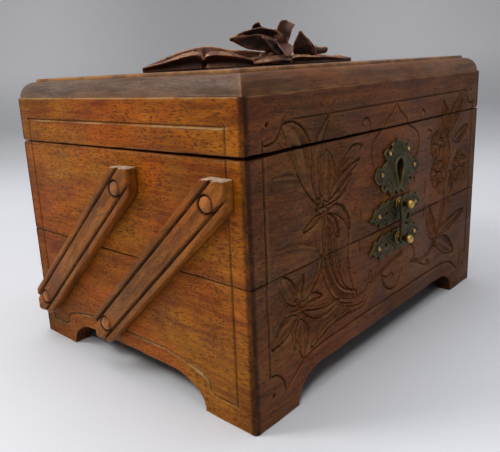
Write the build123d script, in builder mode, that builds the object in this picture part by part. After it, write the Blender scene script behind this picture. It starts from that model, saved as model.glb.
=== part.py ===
from build123d import *
import math
import os

# Millimetres, +Z up.  The box stands on z = 0 with its front towards -Y.
# The origin is the middle of the ground covered, studs and pins included.

# --- Body ---
body_width = 196
body_depth = 144
base_height = 56
tray_height = 44
lid_height = 20
board = 8
corner_flat = 1.4
edge_ease = 0.4
floor_thickness = 4
floor_groove = 3
base_floor_lip = 2
tray_floor_lip = 1.5

# --- Feet: each board is arched between its two feet ---
apron_height = 12.6
foot_length = 26
foot_nick = 1
arch_round = {"front": 16, "back": 16, "left": 19, "right": 19}

# --- Border line cut round each face ---
line_width = 1.3
line_depth = 0.7
line_side_inset = 8.6
line_front_inset = 9
line_below_moulding = 9.6
line_above_apron = 7.2
line_foot_height = 9
line_foot_reach = 12

# --- Lining ---
lining = 1
lining_below_rim = 1
pad_thickness = 3.5
pad_gap = 0.3

# --- Swing arms and their pins ---
arm_width = 15
arm_thickness = 5.5
arm_gap = 0.4
arm_end = 8.6
arm_line_inset = 3.1
arm_line_width = 1.6
arm_line_depth = 0.8
arm_low_z = 23.5
arm_high_below_rim = 14.4
arm_front_inset = 13.5
arm_rear_inset = 13
arm_spacing = 50.5
pin_radius = 2
pin_clearance = 0.08
pin_head_radius = 3
pin_head_clearance = 0.5
pin_sunk = 1.5
pin_dome = 0.8
pin_depth = 6.5

# --- Lid top ---
moulding_height = 7.2
moulding_foot = 1.2
moulding_fillet = 0.5
moulding_inner = 12
slab_inset = 7.3
slab_thickness = 1.4

# --- Hinges ---
hinge_length = 24
hinge_spacing = 120
hinge_inset = 2.5
hinge_leaf = 1
hinge_barrel = 2
hinge_pin = 0.8
hinge_pin_clearance = 0.05
barrel_clearance = 0.3
knuckle_gap = 0.2
lid_opening = 100
hinge_screw_spacing = 14
hinge_screw_inset = 3.9

# --- Screws and brass pins ---
screw_head = 1.25
screw_shank = 0.6
screw_countersink = 0.65
screw_length = 6
tack_head = 1.1
tack_dome = 0.7
tack_shank = 0.5
tack_length = 1.7

# --- Latch: two plates, two studs and a hook between them ---
lock_x = 3.5
plate_thickness = 1.2
latch_width = 50
latch_height = 11.5
latch_tack_spacing = 34
tray_stud_above_seam = 9.6
tray_plate_above_seam = 6.8
base_stud_below_seam = 6.5
base_plate_below_seam = 7.8
stud_reach = 8.8
stud_ball = 2.1
stud_neck = 1.15
stud_shank = 1.3
stud_shank_depth = 5
stud_collar = 2.9
stud_collar_thickness = 0.7
stud_ring = 1.9
stud_ring_thickness = 1
hook_thickness = 1.4
hook_gap = 0.25
hook_eye = 2.9
hook_clearance = 0.1
hook_bar = 2.6
hook_mouth = 1.6
hook_mouth_drop = 0.6
hook_head = 3.2
hook_ring = 3.1
hook_ring_bore = 1.7
hook_ring_x = 3.4
hook_ring_drop = 6.2

# --- Lock ---
shield_width = 43
shield_below_rim = 4.6
shield_above_latch = 0.45
keyhole_below_shield_middle = 2.4
nozzle_wall = 1
nozzle_height = 1.4
keyhole_radius = 2.1
keyhole_length = 8
keyhole_slot = 1.5
lock_width = 36
lock_above_stud = 4.4
lock_depth = 6
lock_screw_inset = 3
catch_width = 20
catch_depth = 6
catch_plate = 1
hook_post = 1.4
hook_post_width = 5
hook_drop = 10
hook_toe = 2
hook_toe_height = 1.6
lock_clearance = 0.5
bolt_clearance = 0.12
bolt_length = 9
bolt_height = 3.5
bolt_depth = 1.8
bolt_travel = 5

# --- Carved spray on the lid ---
leaf_length = 92
leaf_width = 30
leaf_rise = 10.5
leaf_tip_x = -78
sprig_length = 72
sprig_width = 20
sprig_rise = 6
sprig_tip_x = 84
flower_x = 4
flower_base = 5
petal_length = 25
petal_width = 15
petal_thickness = 2.2
bud_x = 39
bud_petal_length = 16
bud_petal_width = 12
flower_height = 22.6
# Petals as (degrees round from +X, degrees up)
flower_angles = [(180, 18), (125, 40), (60, 52), (5, 58), (-55, 40), (-120, 34)]
bud_angles = [(170, 62), (40, 30), (-40, 26), (-120, 55), (100, 50)]

# --- Worked-out places ---
front_y = -(body_depth - stud_reach) / 2
back_y = front_y + body_depth
middle_y = (front_y + back_y) / 2
half_width = body_width / 2
half_depth = body_depth / 2
tray_top = base_height + tray_height
wall_top = tray_top + lid_height
moulding_top = wall_top + moulding_height
lid_top = moulding_top + slab_thickness
base_floor_z = apron_height + base_floor_lip
tray_floor_z = base_height + tray_floor_lip
tray_stud_z = base_height + tray_stud_above_seam
tray_plate_z = base_height + tray_plate_above_seam
base_stud_z = base_height - base_stud_below_seam
base_plate_z = base_height - base_plate_below_seam
shield_top = tray_top - shield_below_rim
shield_bottom = tray_plate_z + latch_height / 2 + shield_above_latch
shield_z = (shield_top + shield_bottom) / 2
keyhole_z = shield_z - keyhole_below_shield_middle
lock_low_z = tray_stud_z + lock_above_stud
arm_high_z = tray_top - arm_high_below_rim
arm_low_front = arm_rear_inset - half_depth + arm_spacing
arm_high_front = half_depth - arm_front_inset
hinge_y = back_y - hinge_inset
bevel_height = hinge_inset * math.tan(math.radians(lid_opening / 2))
up = Vector(0, 0, 1)

# Each side of the box: middle of its outer face at the ground, direction along it seen from
# outside, and half its length.
sides = {
    "front": (Vector(0, front_y, 0), Vector(1, 0, 0), half_width),
    "back": (Vector(0, back_y, 0), Vector(-1, 0, 0), half_width),
    "left": (Vector(-half_width, middle_y, 0), Vector(0, -1, 0), half_depth),
    "right": (Vector(half_width, middle_y, 0), Vector(0, 1, 0), half_depth),
}

os.makedirs("parts", exist_ok=True)


def keep(piece, name):
    """Label a finished piece and write it."""
    piece.part.label = name
    export_step(piece.part, f"parts/{name}.step")


def face_plane(side, out=0):
    """The outer face of a side: x along it, y up, z outwards."""
    middle, along, _ = sides[side]
    outward = along.cross(up)
    return Plane(middle + outward * out, x_dir=along, z_dir=outward)


def side_board(side, outline, flat=corner_flat):
    """Run an outline of (inward, up) points along a side, mitre its ends and flatten the corners."""
    middle, along, half = sides[side]
    inward = up.cross(along)
    with BuildSketch(Plane(middle, x_dir=inward, z_dir=along)) as shape:
        with BuildLine():
            Polyline(*outline, close=True)
        make_face()
    extrude(shape.sketch, amount=half, both=True)
    for end in (along, -along):
        split(bisect_by=Plane(middle + end * half, z_dir=end + inward), keep=Keep.BOTTOM)
        if flat:
            corner = middle + end * (half - flat)
            split(bisect_by=Plane(corner, z_dir=end - inward), keep=Keep.BOTTOM)


def wall_outline(bottom, top):
    """Section of a plain board with its outer edges eased."""
    return [
        (edge_ease, bottom),
        (board, bottom),
        (board, top),
        (edge_ease, top),
        (0, top - edge_ease),
        (0, bottom + edge_ease),
    ]


def grooved_outline(bottom, top, floor_z):
    """Section of a board that holds a floor in a groove."""
    outline = wall_outline(bottom, top)
    groove = [
        (board, floor_z),
        (board - floor_groove, floor_z),
        (board - floor_groove, floor_z + floor_thickness),
        (board, floor_z + floor_thickness),
    ]
    return outline[:2] + groove + outline[2:]


def cut_arch(side):
    """The arch between the two feet of a side."""
    half = sides[side][2]
    edge = half - foot_length
    start = edge - arch_round[side]
    rise = apron_height - foot_nick
    with BuildSketch(face_plane(side)) as shape:
        with BuildLine():
            Line((-start, apron_height), (start, apron_height))
            EllipticalCenterArc((start, foot_nick), arch_round[side], rise, 0, arc_size=90)
            Polyline((edge, foot_nick), (edge, 0), (-edge, 0), (-edge, foot_nick))
            EllipticalCenterArc((-start, foot_nick), arch_round[side], rise, 90, arc_size=90)
        make_face()
    extrude(shape.sketch, amount=-board, mode=Mode.SUBTRACT)


def border_inset(side):
    return line_front_inset if side in ("front", "back") else line_side_inset


def cut_border(side, bottom, top, level=None):
    """The upright lines of the border between two heights, and the level line at its top."""
    reach = sides[side][2] - border_inset(side)
    with BuildSketch(face_plane(side)) as shape:
        for x in (-reach, reach):
            with Locations((x, (bottom + top) / 2)):
                Rectangle(line_width, top - bottom)
        if level:
            with Locations((0, level)):
                Rectangle(2 * reach + line_width, line_width)
    extrude(shape.sketch, amount=-line_depth, mode=Mode.SUBTRACT)


def cut_foot_line(side):
    """The lowest line of the border: level over the apron and dropping into each foot."""
    half = sides[side][2]
    reach = half - border_inset(side)
    edge = half - foot_length
    start = edge - arch_round[side]
    level = apron_height + line_above_apron
    for hand in (-1, 1):
        with BuildSketch(face_plane(side)) as shape:
            with BuildLine():
                Line((0, level), (hand * start, level))
                Spline(
                    (hand * start, level),
                    (hand * (reach - line_foot_reach), line_foot_height),
                    tangents=((hand, 0), (hand * 0.5, -1)),
                )
                Line((hand * (reach - line_foot_reach), line_foot_height), (hand * reach, line_foot_height))
            trace(line_width=line_width)
        extrude(shape.sketch, amount=-line_depth, mode=Mode.SUBTRACT)


def arm_pins(level):
    """Places of the two arm pins of a tier, as distances forward of the middle of the side."""
    forward = arm_low_front if level == "low" else arm_high_front
    return (forward, forward - arm_spacing)


def hand_of(side):
    """Forward along the left face is its own +x, and along the right face its -x."""
    return 1 if side == "left" else -1


def cut_pin_holes(side, level, height):
    """Blind holes for the arm pins."""
    for forward in arm_pins(level):
        with BuildSketch(face_plane(side)) as shape:
            with Locations((hand_of(side) * forward, height)):
                Circle(pin_radius)
        extrude(shape.sketch, amount=-pin_depth, mode=Mode.SUBTRACT)


def turn(place, outline, mode=Mode.ADD):
    """Turn an outline of (radius, out) points about the z axis of a plane."""
    with BuildSketch(Plane(place.origin, x_dir=place.x_dir, z_dir=-place.y_dir)) as shape:
        with BuildLine():
            Polyline(*outline, close=True)
        make_face()
    revolve(shape.sketch, axis=Axis(place.origin, place.z_dir), mode=mode)


def screw_at(place, length=screw_length, mode=Mode.ADD):
    """A countersunk screw, its head flush with the plane."""
    outline = [(0, 0), (screw_head, 0), (screw_shank, -screw_countersink), (screw_shank, -length), (0, -length)]
    turn(place, outline, mode)


def tack_at(place, mode=Mode.ADD):
    """A round-headed brass tack: head on the plate, shank through it into the wood."""
    length = plate_thickness + tack_length
    outline = [
        (0, tack_dome),
        (0.7 * tack_head, 0.7 * tack_dome),
        (tack_head, 0),
        (tack_shank, 0),
        (tack_shank, -length),
        (0, -length),
    ]
    turn(place, outline, mode)


def front_place(x, z, out=0):
    """A plane on the front face, facing forwards, at a point."""
    return Plane(Vector(x, front_y - out, z), x_dir=(1, 0, 0), z_dir=(0, -1, 0))


def latch_tack_places(plate_z):
    for step in (-latch_tack_spacing / 2, latch_tack_spacing / 2):
        yield front_place(lock_x + step, plate_z, plate_thickness)


def shield_tack_places():
    half, rise = shield_width / 2, (shield_top - shield_bottom) / 2
    for hand in (-1, 1):
        for x, z in ((0.7 * half, -0.11 * rise), (0.4 * half, 0.53 * rise)):
            yield front_place(lock_x + hand * x, shield_z + z, plate_thickness)


def bore_latch(stud_z, plate_z):
    """Holes in a front board for a stud and for the tacks of its plate."""
    with BuildSketch(front_place(lock_x, stud_z)) as shape:
        Circle(stud_shank)
    extrude(shape.sketch, amount=-stud_shank_depth, mode=Mode.SUBTRACT)
    for place in latch_tack_places(plate_z):
        tack_at(place, Mode.SUBTRACT)


def hinge_screw_places(x, z_dir):
    for step in (-hinge_screw_spacing / 2, hinge_screw_spacing / 2):
        yield Plane(
            Vector(x + step, hinge_y - hinge_screw_inset, tray_top), x_dir=(1, 0, 0), z_dir=z_dir
        )


def box_between(low, high, mode=Mode.ADD):
    """A block from its lowest to its highest corner."""
    low, high = Vector(*low), Vector(*high)
    size = high - low
    with Locations((low + high) * 0.5):
        Box(size.X, size.Y, size.Z, mode=mode)


def cut_back_bevel(leaf_side):
    """Bevel the back edge at the lid's seam. leaf_side is -1 below the seam, 1 above."""
    with BuildSketch(Plane.YZ.offset(-half_width)) as shape:
        with BuildLine():
            Polyline(
                (hinge_y, tray_top),
                (back_y, tray_top + leaf_side * bevel_height),
                (back_y, tray_top),
                close=True,
            )
        make_face()
    extrude(shape.sketch, amount=body_width, mode=Mode.SUBTRACT)


def cut_hinge_seats(leaf_side):
    """Let in the hinge leaves with their barrels and screws."""
    for x in (-hinge_spacing / 2, hinge_spacing / 2):
        levels = sorted((tray_top, tray_top + leaf_side * hinge_leaf))
        box_between(
            (x - hinge_length / 2, back_y - board, levels[0]),
            (x + hinge_length / 2, hinge_y, levels[1]),
            mode=Mode.SUBTRACT,
        )
        with BuildSketch(Plane.YZ.offset(x - hinge_length / 2 - knuckle_gap)) as shape:
            with Locations((hinge_y, tray_top)):
                Circle(hinge_barrel + barrel_clearance)
        extrude(shape.sketch, amount=hinge_length + 2 * knuckle_gap, mode=Mode.SUBTRACT)
        for place in hinge_screw_places(x, (0, 0, -leaf_side)):
            screw_at(place, mode=Mode.SUBTRACT)


def hinge_half(x, leaf_side):
    """One leaf with its knuckles: two outer ones below the seam, one middle one above."""
    knuckle = hinge_length / 3
    levels = sorted((tray_top, tray_top + leaf_side * hinge_leaf))
    box_between(
        (x - hinge_length / 2, back_y - board, levels[0]),
        (x + hinge_length / 2, hinge_y, levels[1]),
    )
    own = ((-1, 1), (0,))[leaf_side > 0]
    other = ((-1, 1), (0,))[leaf_side < 0]
    for step in other:
        with BuildSketch(Plane.YZ.offset(x + step * knuckle - knuckle / 2 - knuckle_gap)) as shape:
            with Locations((hinge_y, tray_top)):
                Circle(hinge_barrel + barrel_clearance)
        extrude(shape.sketch, amount=knuckle + 2 * knuckle_gap, mode=Mode.SUBTRACT)
    for step in own:
        with BuildSketch(Plane.YZ.offset(x + step * knuckle - knuckle / 2)) as shape:
            with Locations((hinge_y, tray_top)):
                Circle(hinge_barrel)
        extrude(shape.sketch, amount=knuckle)
    with BuildSketch(Plane.YZ.offset(x - hinge_length / 2)) as shape:
        with Locations((hinge_y, tray_top)):
            Circle(hinge_pin + hinge_pin_clearance)
    extrude(shape.sketch, amount=hinge_length, mode=Mode.SUBTRACT)
    for place in hinge_screw_places(x, (0, 0, -leaf_side)):
        screw_at(place, mode=Mode.SUBTRACT)


# --- Base ---
for side in sides:
    with BuildPart() as base_board:
        side_board(side, grooved_outline(0, base_height, base_floor_z))
        cut_arch(side)
        cut_border(side, line_foot_height, base_height)
        cut_foot_line(side)
        if side in ("left", "right"):
            cut_pin_holes(side, "low", arm_low_z)
        if side == "front":
            bore_latch(base_stud_z, base_plate_z)
    keep(base_board, f"base_{side}")


def floor_panel(floor_z):
    """A floor held in the grooves of the four boards."""
    reach = board - floor_groove
    box_between(
        (-half_width + reach, front_y + reach, floor_z),
        (half_width - reach, back_y - reach, floor_z + floor_thickness),
    )


def pad_block(floor_z):
    """The padded cushion on a floor."""
    reach = board + lining + pad_gap
    low = floor_z + floor_thickness
    box_between(
        (-half_width + reach, front_y + reach, low),
        (half_width - reach, back_y - reach, low + pad_thickness),
    )


def lining_ring(bottom, top):
    """The cloth glued round the inside of a tier."""
    with BuildSketch(Plane((0, middle_y, bottom))) as shape:
        Rectangle(body_width - 2 * board, body_depth - 2 * board)
        Rectangle(
            body_width - 2 * (board + lining),
            body_depth - 2 * (board + lining),
            mode=Mode.SUBTRACT,
        )
    extrude(shape.sketch, amount=top - bottom)


with BuildPart() as base_floor:
    floor_panel(base_floor_z)
keep(base_floor, "base_floor")

with BuildPart() as base_pad:
    pad_block(base_floor_z)
keep(base_pad, "base_pad")

with BuildPart() as base_lining:
    lining_ring(base_floor_z + floor_thickness, base_height - lining_below_rim)
keep(base_lining, "base_lining")

# --- Tray ---
lock_back_y = front_y + board
lock_middle_y = lock_back_y - lock_depth / 2
keyhole_depth = board - lock_depth


def keyhole(grow=0):
    """Keyhole outline: a round eye over a narrower slot."""
    slot_low = -keyhole_length / 2 - keyhole_radius / 2
    with Locations((0, keyhole_length / 2 - keyhole_radius / 2)):
        Circle(keyhole_radius + grow)
    with Locations((0, slot_low / 2 + keyhole_length / 4)):
        Rectangle(keyhole_slot + 2 * grow, keyhole_length / 2 - slot_low + 2 * grow)


def lock_screw_places():
    for x in (lock_x - lock_width / 2 + lock_screw_inset, lock_x + lock_width / 2 - lock_screw_inset):
        for z in (lock_low_z + lock_screw_inset, tray_top - lock_screw_inset):
            yield Plane(Vector(x, lock_back_y, z), x_dir=(-1, 0, 0), z_dir=(0, 1, 0))


def catch_screw_places():
    reach = catch_width / 2 - 2 * screw_head
    for x in (lock_x - reach, lock_x + reach):
        yield Plane(Vector(x, lock_middle_y, tray_top), z_dir=(0, 0, -1))


for side in sides:
    with BuildPart() as tray_board:
        side_board(side, grooved_outline(base_height, tray_top, tray_floor_z))
        cut_border(side, base_height, tray_top)
        if side in ("left", "right"):
            cut_pin_holes(side, "high", arm_high_z)
        if side != "front":
            cut_back_bevel(-1)
        if side == "back":
            cut_hinge_seats(-1)
        if side == "front":
            box_between(
                (lock_x - lock_width / 2, lock_back_y - lock_depth, lock_low_z),
                (lock_x + lock_width / 2, lock_back_y, tray_top),
                mode=Mode.SUBTRACT,
            )
            for place in lock_screw_places():
                screw_at(place, lock_depth + tack_length, Mode.SUBTRACT)
            with BuildSketch(front_place(lock_x, keyhole_z)):
                keyhole()
            extrude(amount=-keyhole_depth, mode=Mode.SUBTRACT)
            bore_latch(tray_stud_z, tray_plate_z)
            for place in shield_tack_places():
                tack_at(place, Mode.SUBTRACT)
    keep(tray_board, f"tray_{side}")

with BuildPart() as tray_floor:
    floor_panel(tray_floor_z)
keep(tray_floor, "tray_floor")

with BuildPart() as tray_pad:
    pad_block(tray_floor_z)
keep(tray_pad, "tray_pad")

with BuildPart() as tray_lining:
    lining_ring(tray_floor_z + floor_thickness, tray_top - lining_below_rim)
    box_between(
        (lock_x - lock_width / 2, lock_back_y, lock_low_z),
        (lock_x + lock_width / 2, lock_back_y + lining, tray_top),
        mode=Mode.SUBTRACT,
    )
keep(tray_lining, "tray_lining")

# --- Lid ---
for side in sides:
    with BuildPart() as lid_board:
        side_board(side, wall_outline(tray_top, wall_top))
        cut_border(side, tray_top, wall_top - line_below_moulding, wall_top - line_below_moulding)
        if side != "front":
            cut_back_bevel(1)
        if side == "back":
            cut_hinge_seats(1)
        if side == "front":
            box_between(
                (lock_x - catch_width / 2, lock_back_y - catch_depth, tray_top),
                (lock_x + catch_width / 2, lock_back_y, tray_top + catch_plate),
                mode=Mode.SUBTRACT,
            )
            for place in catch_screw_places():
                screw_at(place, mode=Mode.SUBTRACT)
    keep(lid_board, f"lid_{side}")

moulding_run = slab_inset - moulding_foot - moulding_fillet
for side in sides:
    middle, along, half = sides[side]
    inward = up.cross(along)
    with BuildPart() as moulding:
        with BuildSketch(Plane(middle, x_dir=inward, z_dir=along)):
            with BuildLine():
                EllipticalCenterArc(
                    (moulding_foot + moulding_run, wall_top), moulding_run, moulding_height, 90, arc_size=90
                )
                Polyline(
                    (moulding_foot + moulding_run, moulding_top),
                    (moulding_inner, moulding_top),
                    (moulding_inner, wall_top),
                    (moulding_foot, wall_top),
                )
            make_face()
        extrude(amount=half, both=True)
        for end in (along, -along):
            split(bisect_by=Plane(middle + end * half, z_dir=end + inward), keep=Keep.BOTTOM)
    keep(moulding, f"moulding_{side}")

with BuildPart() as lid_top_panel:
    box_between(
        (-half_width + moulding_inner, front_y + moulding_inner, wall_top),
        (half_width - moulding_inner, back_y - moulding_inner, moulding_top),
    )
    box_between(
        (-half_width + slab_inset, front_y + slab_inset, moulding_top),
        (half_width - slab_inset, back_y - slab_inset, lid_top),
    )
    chamfer(lid_top_panel.faces().sort_by(Axis.Z)[-1].edges(), edge_ease)
keep(lid_top_panel, "lid_top_panel")

with BuildPart() as lid_pad:
    reach = board + lining + pad_gap
    box_between(
        (-half_width + reach, front_y + reach, wall_top - pad_thickness),
        (half_width - reach, back_y - reach, wall_top),
    )
keep(lid_pad, "lid_pad")

with BuildPart() as lid_lining:
    lining_ring(tray_top + lining_below_rim, wall_top)
keep(lid_lining, "lid_lining")

# --- Swing arms ---
arm_low = Vector(arm_low_front, arm_low_z)
arm_high = Vector(arm_high_front, arm_high_z)
arm_line = (arm_high - arm_low).normalized()
arm_across = Vector(-arm_line.Y, arm_line.X)


def arm_edge(hand, reach, forward=None, height=None):
    """Point of a line beside the arm's middle line, reach away, at a forward distance or a height."""
    start = arm_low + arm_across * (hand * reach)
    if forward is not None:
        travel = (forward - start.X) / arm_line.X
    else:
        travel = (height - start.Y) / arm_line.Y
    return start + arm_line * travel


def arm_outline():
    """Long edges parallel to the arm, ends cut level and upright."""
    half = arm_width / 2
    top, bottom = arm_high.Y + arm_end, arm_low.Y - arm_end
    front, rear = arm_high.X + arm_end, arm_low.X - arm_end
    return [
        arm_edge(1, half, height=top),
        Vector(front, top),
        arm_edge(-1, half, forward=front),
        arm_edge(-1, half, height=bottom),
        Vector(rear, bottom),
        arm_edge(1, half, forward=rear),
    ]


arm_length = (arm_high - arm_low).length
arm_angle = math.degrees(math.atan2(arm_line.Y, arm_line.X))
arm_middle = (arm_low + arm_high) * 0.5
for side in ("left", "right"):
    hand = hand_of(side)
    inner = arm_gap
    outer = arm_gap + arm_thickness
    for row, shift in (("front", 0), ("rear", -arm_spacing)):
        with BuildPart() as arm:
            with BuildSketch(face_plane(side, inner)):
                with BuildLine():
                    Polyline(*[(hand * (p.X + shift), p.Y) for p in arm_outline()], close=True)
                make_face()
            extrude(amount=arm_thickness)
            with BuildSketch(face_plane(side, outer)):
                for across in (-1, 1):
                    place = arm_middle + arm_across * (across * (arm_width / 2 - arm_line_inset))
                    with Locations(Location((hand * (place.X + shift), place.Y), hand * arm_angle)):
                        Rectangle(arm_length + 4 * arm_end, arm_line_width)
            extrude(amount=-arm_line_depth, mode=Mode.SUBTRACT)
            for pin in (arm_low, arm_high):
                with BuildSketch(face_plane(side, outer)):
                    with Locations((hand * (pin.X + shift), pin.Y)):
                        Circle(pin_head_radius + pin_head_clearance)
                extrude(amount=-pin_sunk, mode=Mode.SUBTRACT)
                with BuildSketch(face_plane(side, outer)):
                    with Locations((hand * (pin.X + shift), pin.Y)):
                        Circle(pin_radius + pin_clearance)
                extrude(amount=-arm_thickness, mode=Mode.SUBTRACT)
        keep(arm, f"arm_{side}_{row}")

head_seat = arm_gap + arm_thickness - pin_sunk
head_edge = arm_gap + arm_thickness - pin_dome / 2
pin_outline = [
    (0, -pin_depth),
    (pin_radius, -pin_depth),
    (pin_radius, head_seat),
    (pin_head_radius, head_seat),
    (pin_head_radius, head_edge),
    (pin_head_radius * 0.8, head_edge + pin_dome * 0.75),
    (pin_head_radius * 0.45, head_edge + pin_dome * 1.3),
    (0, head_edge + pin_dome * 1.5),
]
for name, level, height in (("base", "low", arm_low_z), ("tray", "high", arm_high_z)):
    with BuildPart() as pins:
        for side in ("left", "right"):
            face = face_plane(side)
            for forward in arm_pins(level):
                spot = face.from_local_coords((hand_of(side) * forward, height, 0))
                turn(Plane(spot, x_dir=face.x_dir, z_dir=face.z_dir), pin_outline)
    keep(pins, f"{name}_arm_pins")

# --- Hinges ---
for hand, x in (("left", -hinge_spacing / 2), ("right", hinge_spacing / 2)):
    for tier, leaf_side in (("tray", -1), ("lid", 1)):
        with BuildPart() as leaf:
            hinge_half(x, leaf_side)
        keep(leaf, f"{tier}_hinge_leaf_{hand}")
    with BuildPart() as hinge_pin_part:
        with BuildSketch(Plane.YZ.offset(x - hinge_length / 2)):
            with Locations((hinge_y, tray_top)):
                Circle(hinge_pin)
        extrude(amount=hinge_length)
    keep(hinge_pin_part, f"hinge_pin_{hand}")

for tier, leaf_side in (("tray", -1), ("lid", 1)):
    with BuildPart() as screws:
        for x in (-hinge_spacing / 2, hinge_spacing / 2):
            for place in hinge_screw_places(x, (0, 0, -leaf_side)):
                screw_at(place)
    keep(screws, f"{tier}_hinge_screws")

# --- Latch ---
stud_ball_out = stud_reach - stud_ball
neck_out = plate_thickness + stud_collar_thickness + stud_ring_thickness
neck_end = stud_ball_out - math.sqrt(stud_ball**2 - stud_neck**2)
hook_out = neck_out + hook_gap


def latch_plate(plate_z, stud_z):
    """A fretted plate, pointed at both ends, with a bore for the stud."""
    half, rise = latch_width / 2, latch_height / 2
    with BuildSketch(front_place(lock_x, plate_z)) as shape:
        with BuildLine():
            quarter = [
                (half, -0.15 * rise),
                (0.86 * half, 0.3 * rise),
                (0.78 * half, 0.72 * rise),
                (0.62 * half, 0.52 * rise),
                (0.42 * half, 0.98 * rise),
                (0.2 * half, 0.8 * rise),
            ]
            lower = [(x, -0.9 * y) for x, y in reversed(quarter[1:])]
            right = lower + quarter
            left = [(-x, y) for x, y in reversed(right)]
            Polyline(*right, (0, rise), *left, (0, -rise), close=True)
        make_face()
        with Locations((0, stud_z - plate_z)):
            Circle(stud_shank, mode=Mode.SUBTRACT)
        with Locations((0.42 * half, 0), (-0.42 * half, 0)):
            Ellipse(0.1 * half, 0.16 * rise, mode=Mode.SUBTRACT)
    extrude(shape.sketch, amount=plate_thickness)
    for place in latch_tack_places(plate_z):
        tack_at(place, Mode.SUBTRACT)


latch_levels = (("base", base_plate_z, base_stud_z), ("tray", tray_plate_z, tray_stud_z))
for tier, plate_z, stud_z in latch_levels:
    with BuildPart() as plate:
        latch_plate(plate_z, stud_z)
    keep(plate, f"{tier}_latch_plate")
    with BuildPart() as stud:
        place = front_place(lock_x, stud_z)
        collar_out = plate_thickness + stud_collar_thickness
        outline = [
            (0, -stud_shank_depth),
            (stud_shank, -stud_shank_depth),
            (stud_shank, plate_thickness),
            (stud_collar, plate_thickness),
            (stud_collar, collar_out),
            (stud_ring, collar_out),
            (stud_ring, neck_out),
            (stud_neck, neck_out),
            (stud_neck, stud_ball_out),
            (0, stud_ball_out),
        ]
        turn(place, outline)
        with Locations(place.from_local_coords((0, 0, stud_ball_out))):
            Sphere(stud_ball)
    keep(stud, f"{tier}_latch_stud")
    with BuildPart() as tacks:
        for place in latch_tack_places(plate_z):
            tack_at(place)
    keep(tacks, f"{tier}_latch_tacks")

hook_rise = tray_stud_z - base_stud_z
with BuildPart() as latch_hook:
    with BuildSketch(front_place(lock_x, base_stud_z, hook_out)):
        Circle(hook_eye)
        with Locations((-hook_bar / 3, hook_rise / 2)):
            Rectangle(hook_bar, hook_rise)
        with Locations((0, hook_rise)):
            Circle(hook_head)
        with Locations((hook_ring_x, hook_rise - hook_ring_drop)):
            Circle(hook_ring)
            Circle(hook_ring_bore, mode=Mode.SUBTRACT)
        Circle(stud_neck + hook_clearance, mode=Mode.SUBTRACT)
        with Locations((0, hook_rise)):
            Circle(hook_mouth, mode=Mode.SUBTRACT)
        with BuildLine():
            Polyline(
                (0, hook_rise + hook_mouth),
                (hook_head, hook_rise + hook_mouth),
                (hook_head, hook_rise - hook_mouth - hook_mouth_drop),
                (0, hook_rise - hook_mouth),
                close=True,
            )
        make_face(mode=Mode.SUBTRACT)
    extrude(amount=hook_thickness)
keep(latch_hook, "latch_hook")

# --- Lock ---
with BuildPart() as escutcheon:
    half, rise = shield_width / 2, (shield_top - shield_bottom) / 2
    with BuildSketch(front_place(lock_x, shield_z)):
        with BuildLine():
            right = [
                (0.12 * half, -0.86 * rise),
                (0.26 * half, -0.98 * rise),
                (0.42 * half, -0.72 * rise),
                (0.62 * half, -0.62 * rise),
                (0.72 * half, -0.36 * rise),
                (half, -0.1 * rise),
                (0.86 * half, 0.14 * rise),
                (0.66 * half, 0.2 * rise),
                (0.5 * half, 0.34 * rise),
                (0.56 * half, 0.62 * rise),
                (0.36 * half, 0.66 * rise),
                (0.2 * half, 0.84 * rise),
            ]
            left = [(-x, y) for x, y in reversed(right)]
            Polyline(*right, (0, rise), *left, (0, -rise), close=True)
        make_face()
    extrude(amount=plate_thickness)
    with BuildSketch(front_place(lock_x, keyhole_z)):
        keyhole(nozzle_wall)
    extrude(amount=plate_thickness + nozzle_height)
    with BuildSketch(front_place(lock_x, keyhole_z)):
        keyhole()
    extrude(amount=plate_thickness + nozzle_height, mode=Mode.SUBTRACT)
    for place in shield_tack_places():
        tack_at(place, Mode.SUBTRACT)
keep(escutcheon, "escutcheon")

with BuildPart() as escutcheon_tacks:
    for place in shield_tack_places():
        tack_at(place)
keep(escutcheon_tacks, "escutcheon_tacks")

toe_top = tray_top - hook_drop + hook_toe_height
post_back_y = lock_middle_y - bolt_clearance
bolt_low_z = toe_top + 2 * bolt_clearance
bolt_start = lock_x + hook_post_width / 2 + bolt_clearance * 10
bolt_low_y = post_back_y + bolt_clearance
with BuildPart() as lock_case:
    box_between(
        (lock_x - lock_width / 2, lock_back_y - lock_depth, lock_low_z),
        (lock_x + lock_width / 2, lock_back_y, tray_top),
    )
    box_between(
        (
            lock_x - hook_post_width / 2 - lock_clearance,
            post_back_y - hook_post - lock_clearance,
            tray_top - hook_drop - lock_clearance,
        ),
        (
            lock_x + hook_post_width / 2 + lock_clearance,
            post_back_y + hook_toe + lock_clearance,
            tray_top,
        ),
        mode=Mode.SUBTRACT,
    )
    box_between(
        (bolt_start - bolt_travel, bolt_low_y - bolt_clearance, bolt_low_z - bolt_clearance),
        (
            bolt_start + bolt_length,
            bolt_low_y + bolt_depth + bolt_clearance,
            bolt_low_z + bolt_height + bolt_clearance,
        ),
        mode=Mode.SUBTRACT,
    )
    with BuildSketch(front_place(lock_x, keyhole_z, -keyhole_depth)):
        keyhole()
    extrude(amount=-lock_depth / 2, mode=Mode.SUBTRACT)
    for place in lock_screw_places():
        screw_at(place, lock_depth + tack_length, Mode.SUBTRACT)
keep(lock_case, "lock_case")

with BuildPart() as lock_screws:
    for place in lock_screw_places():
        screw_at(place, lock_depth + tack_length)
keep(lock_screws, "lock_screws")

with BuildPart() as lock_bolt:
    box_between(
        (bolt_start, bolt_low_y, bolt_low_z),
        (bolt_start + bolt_length, bolt_low_y + bolt_depth, bolt_low_z + bolt_height),
    )
keep(lock_bolt, "lock_bolt")

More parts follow.
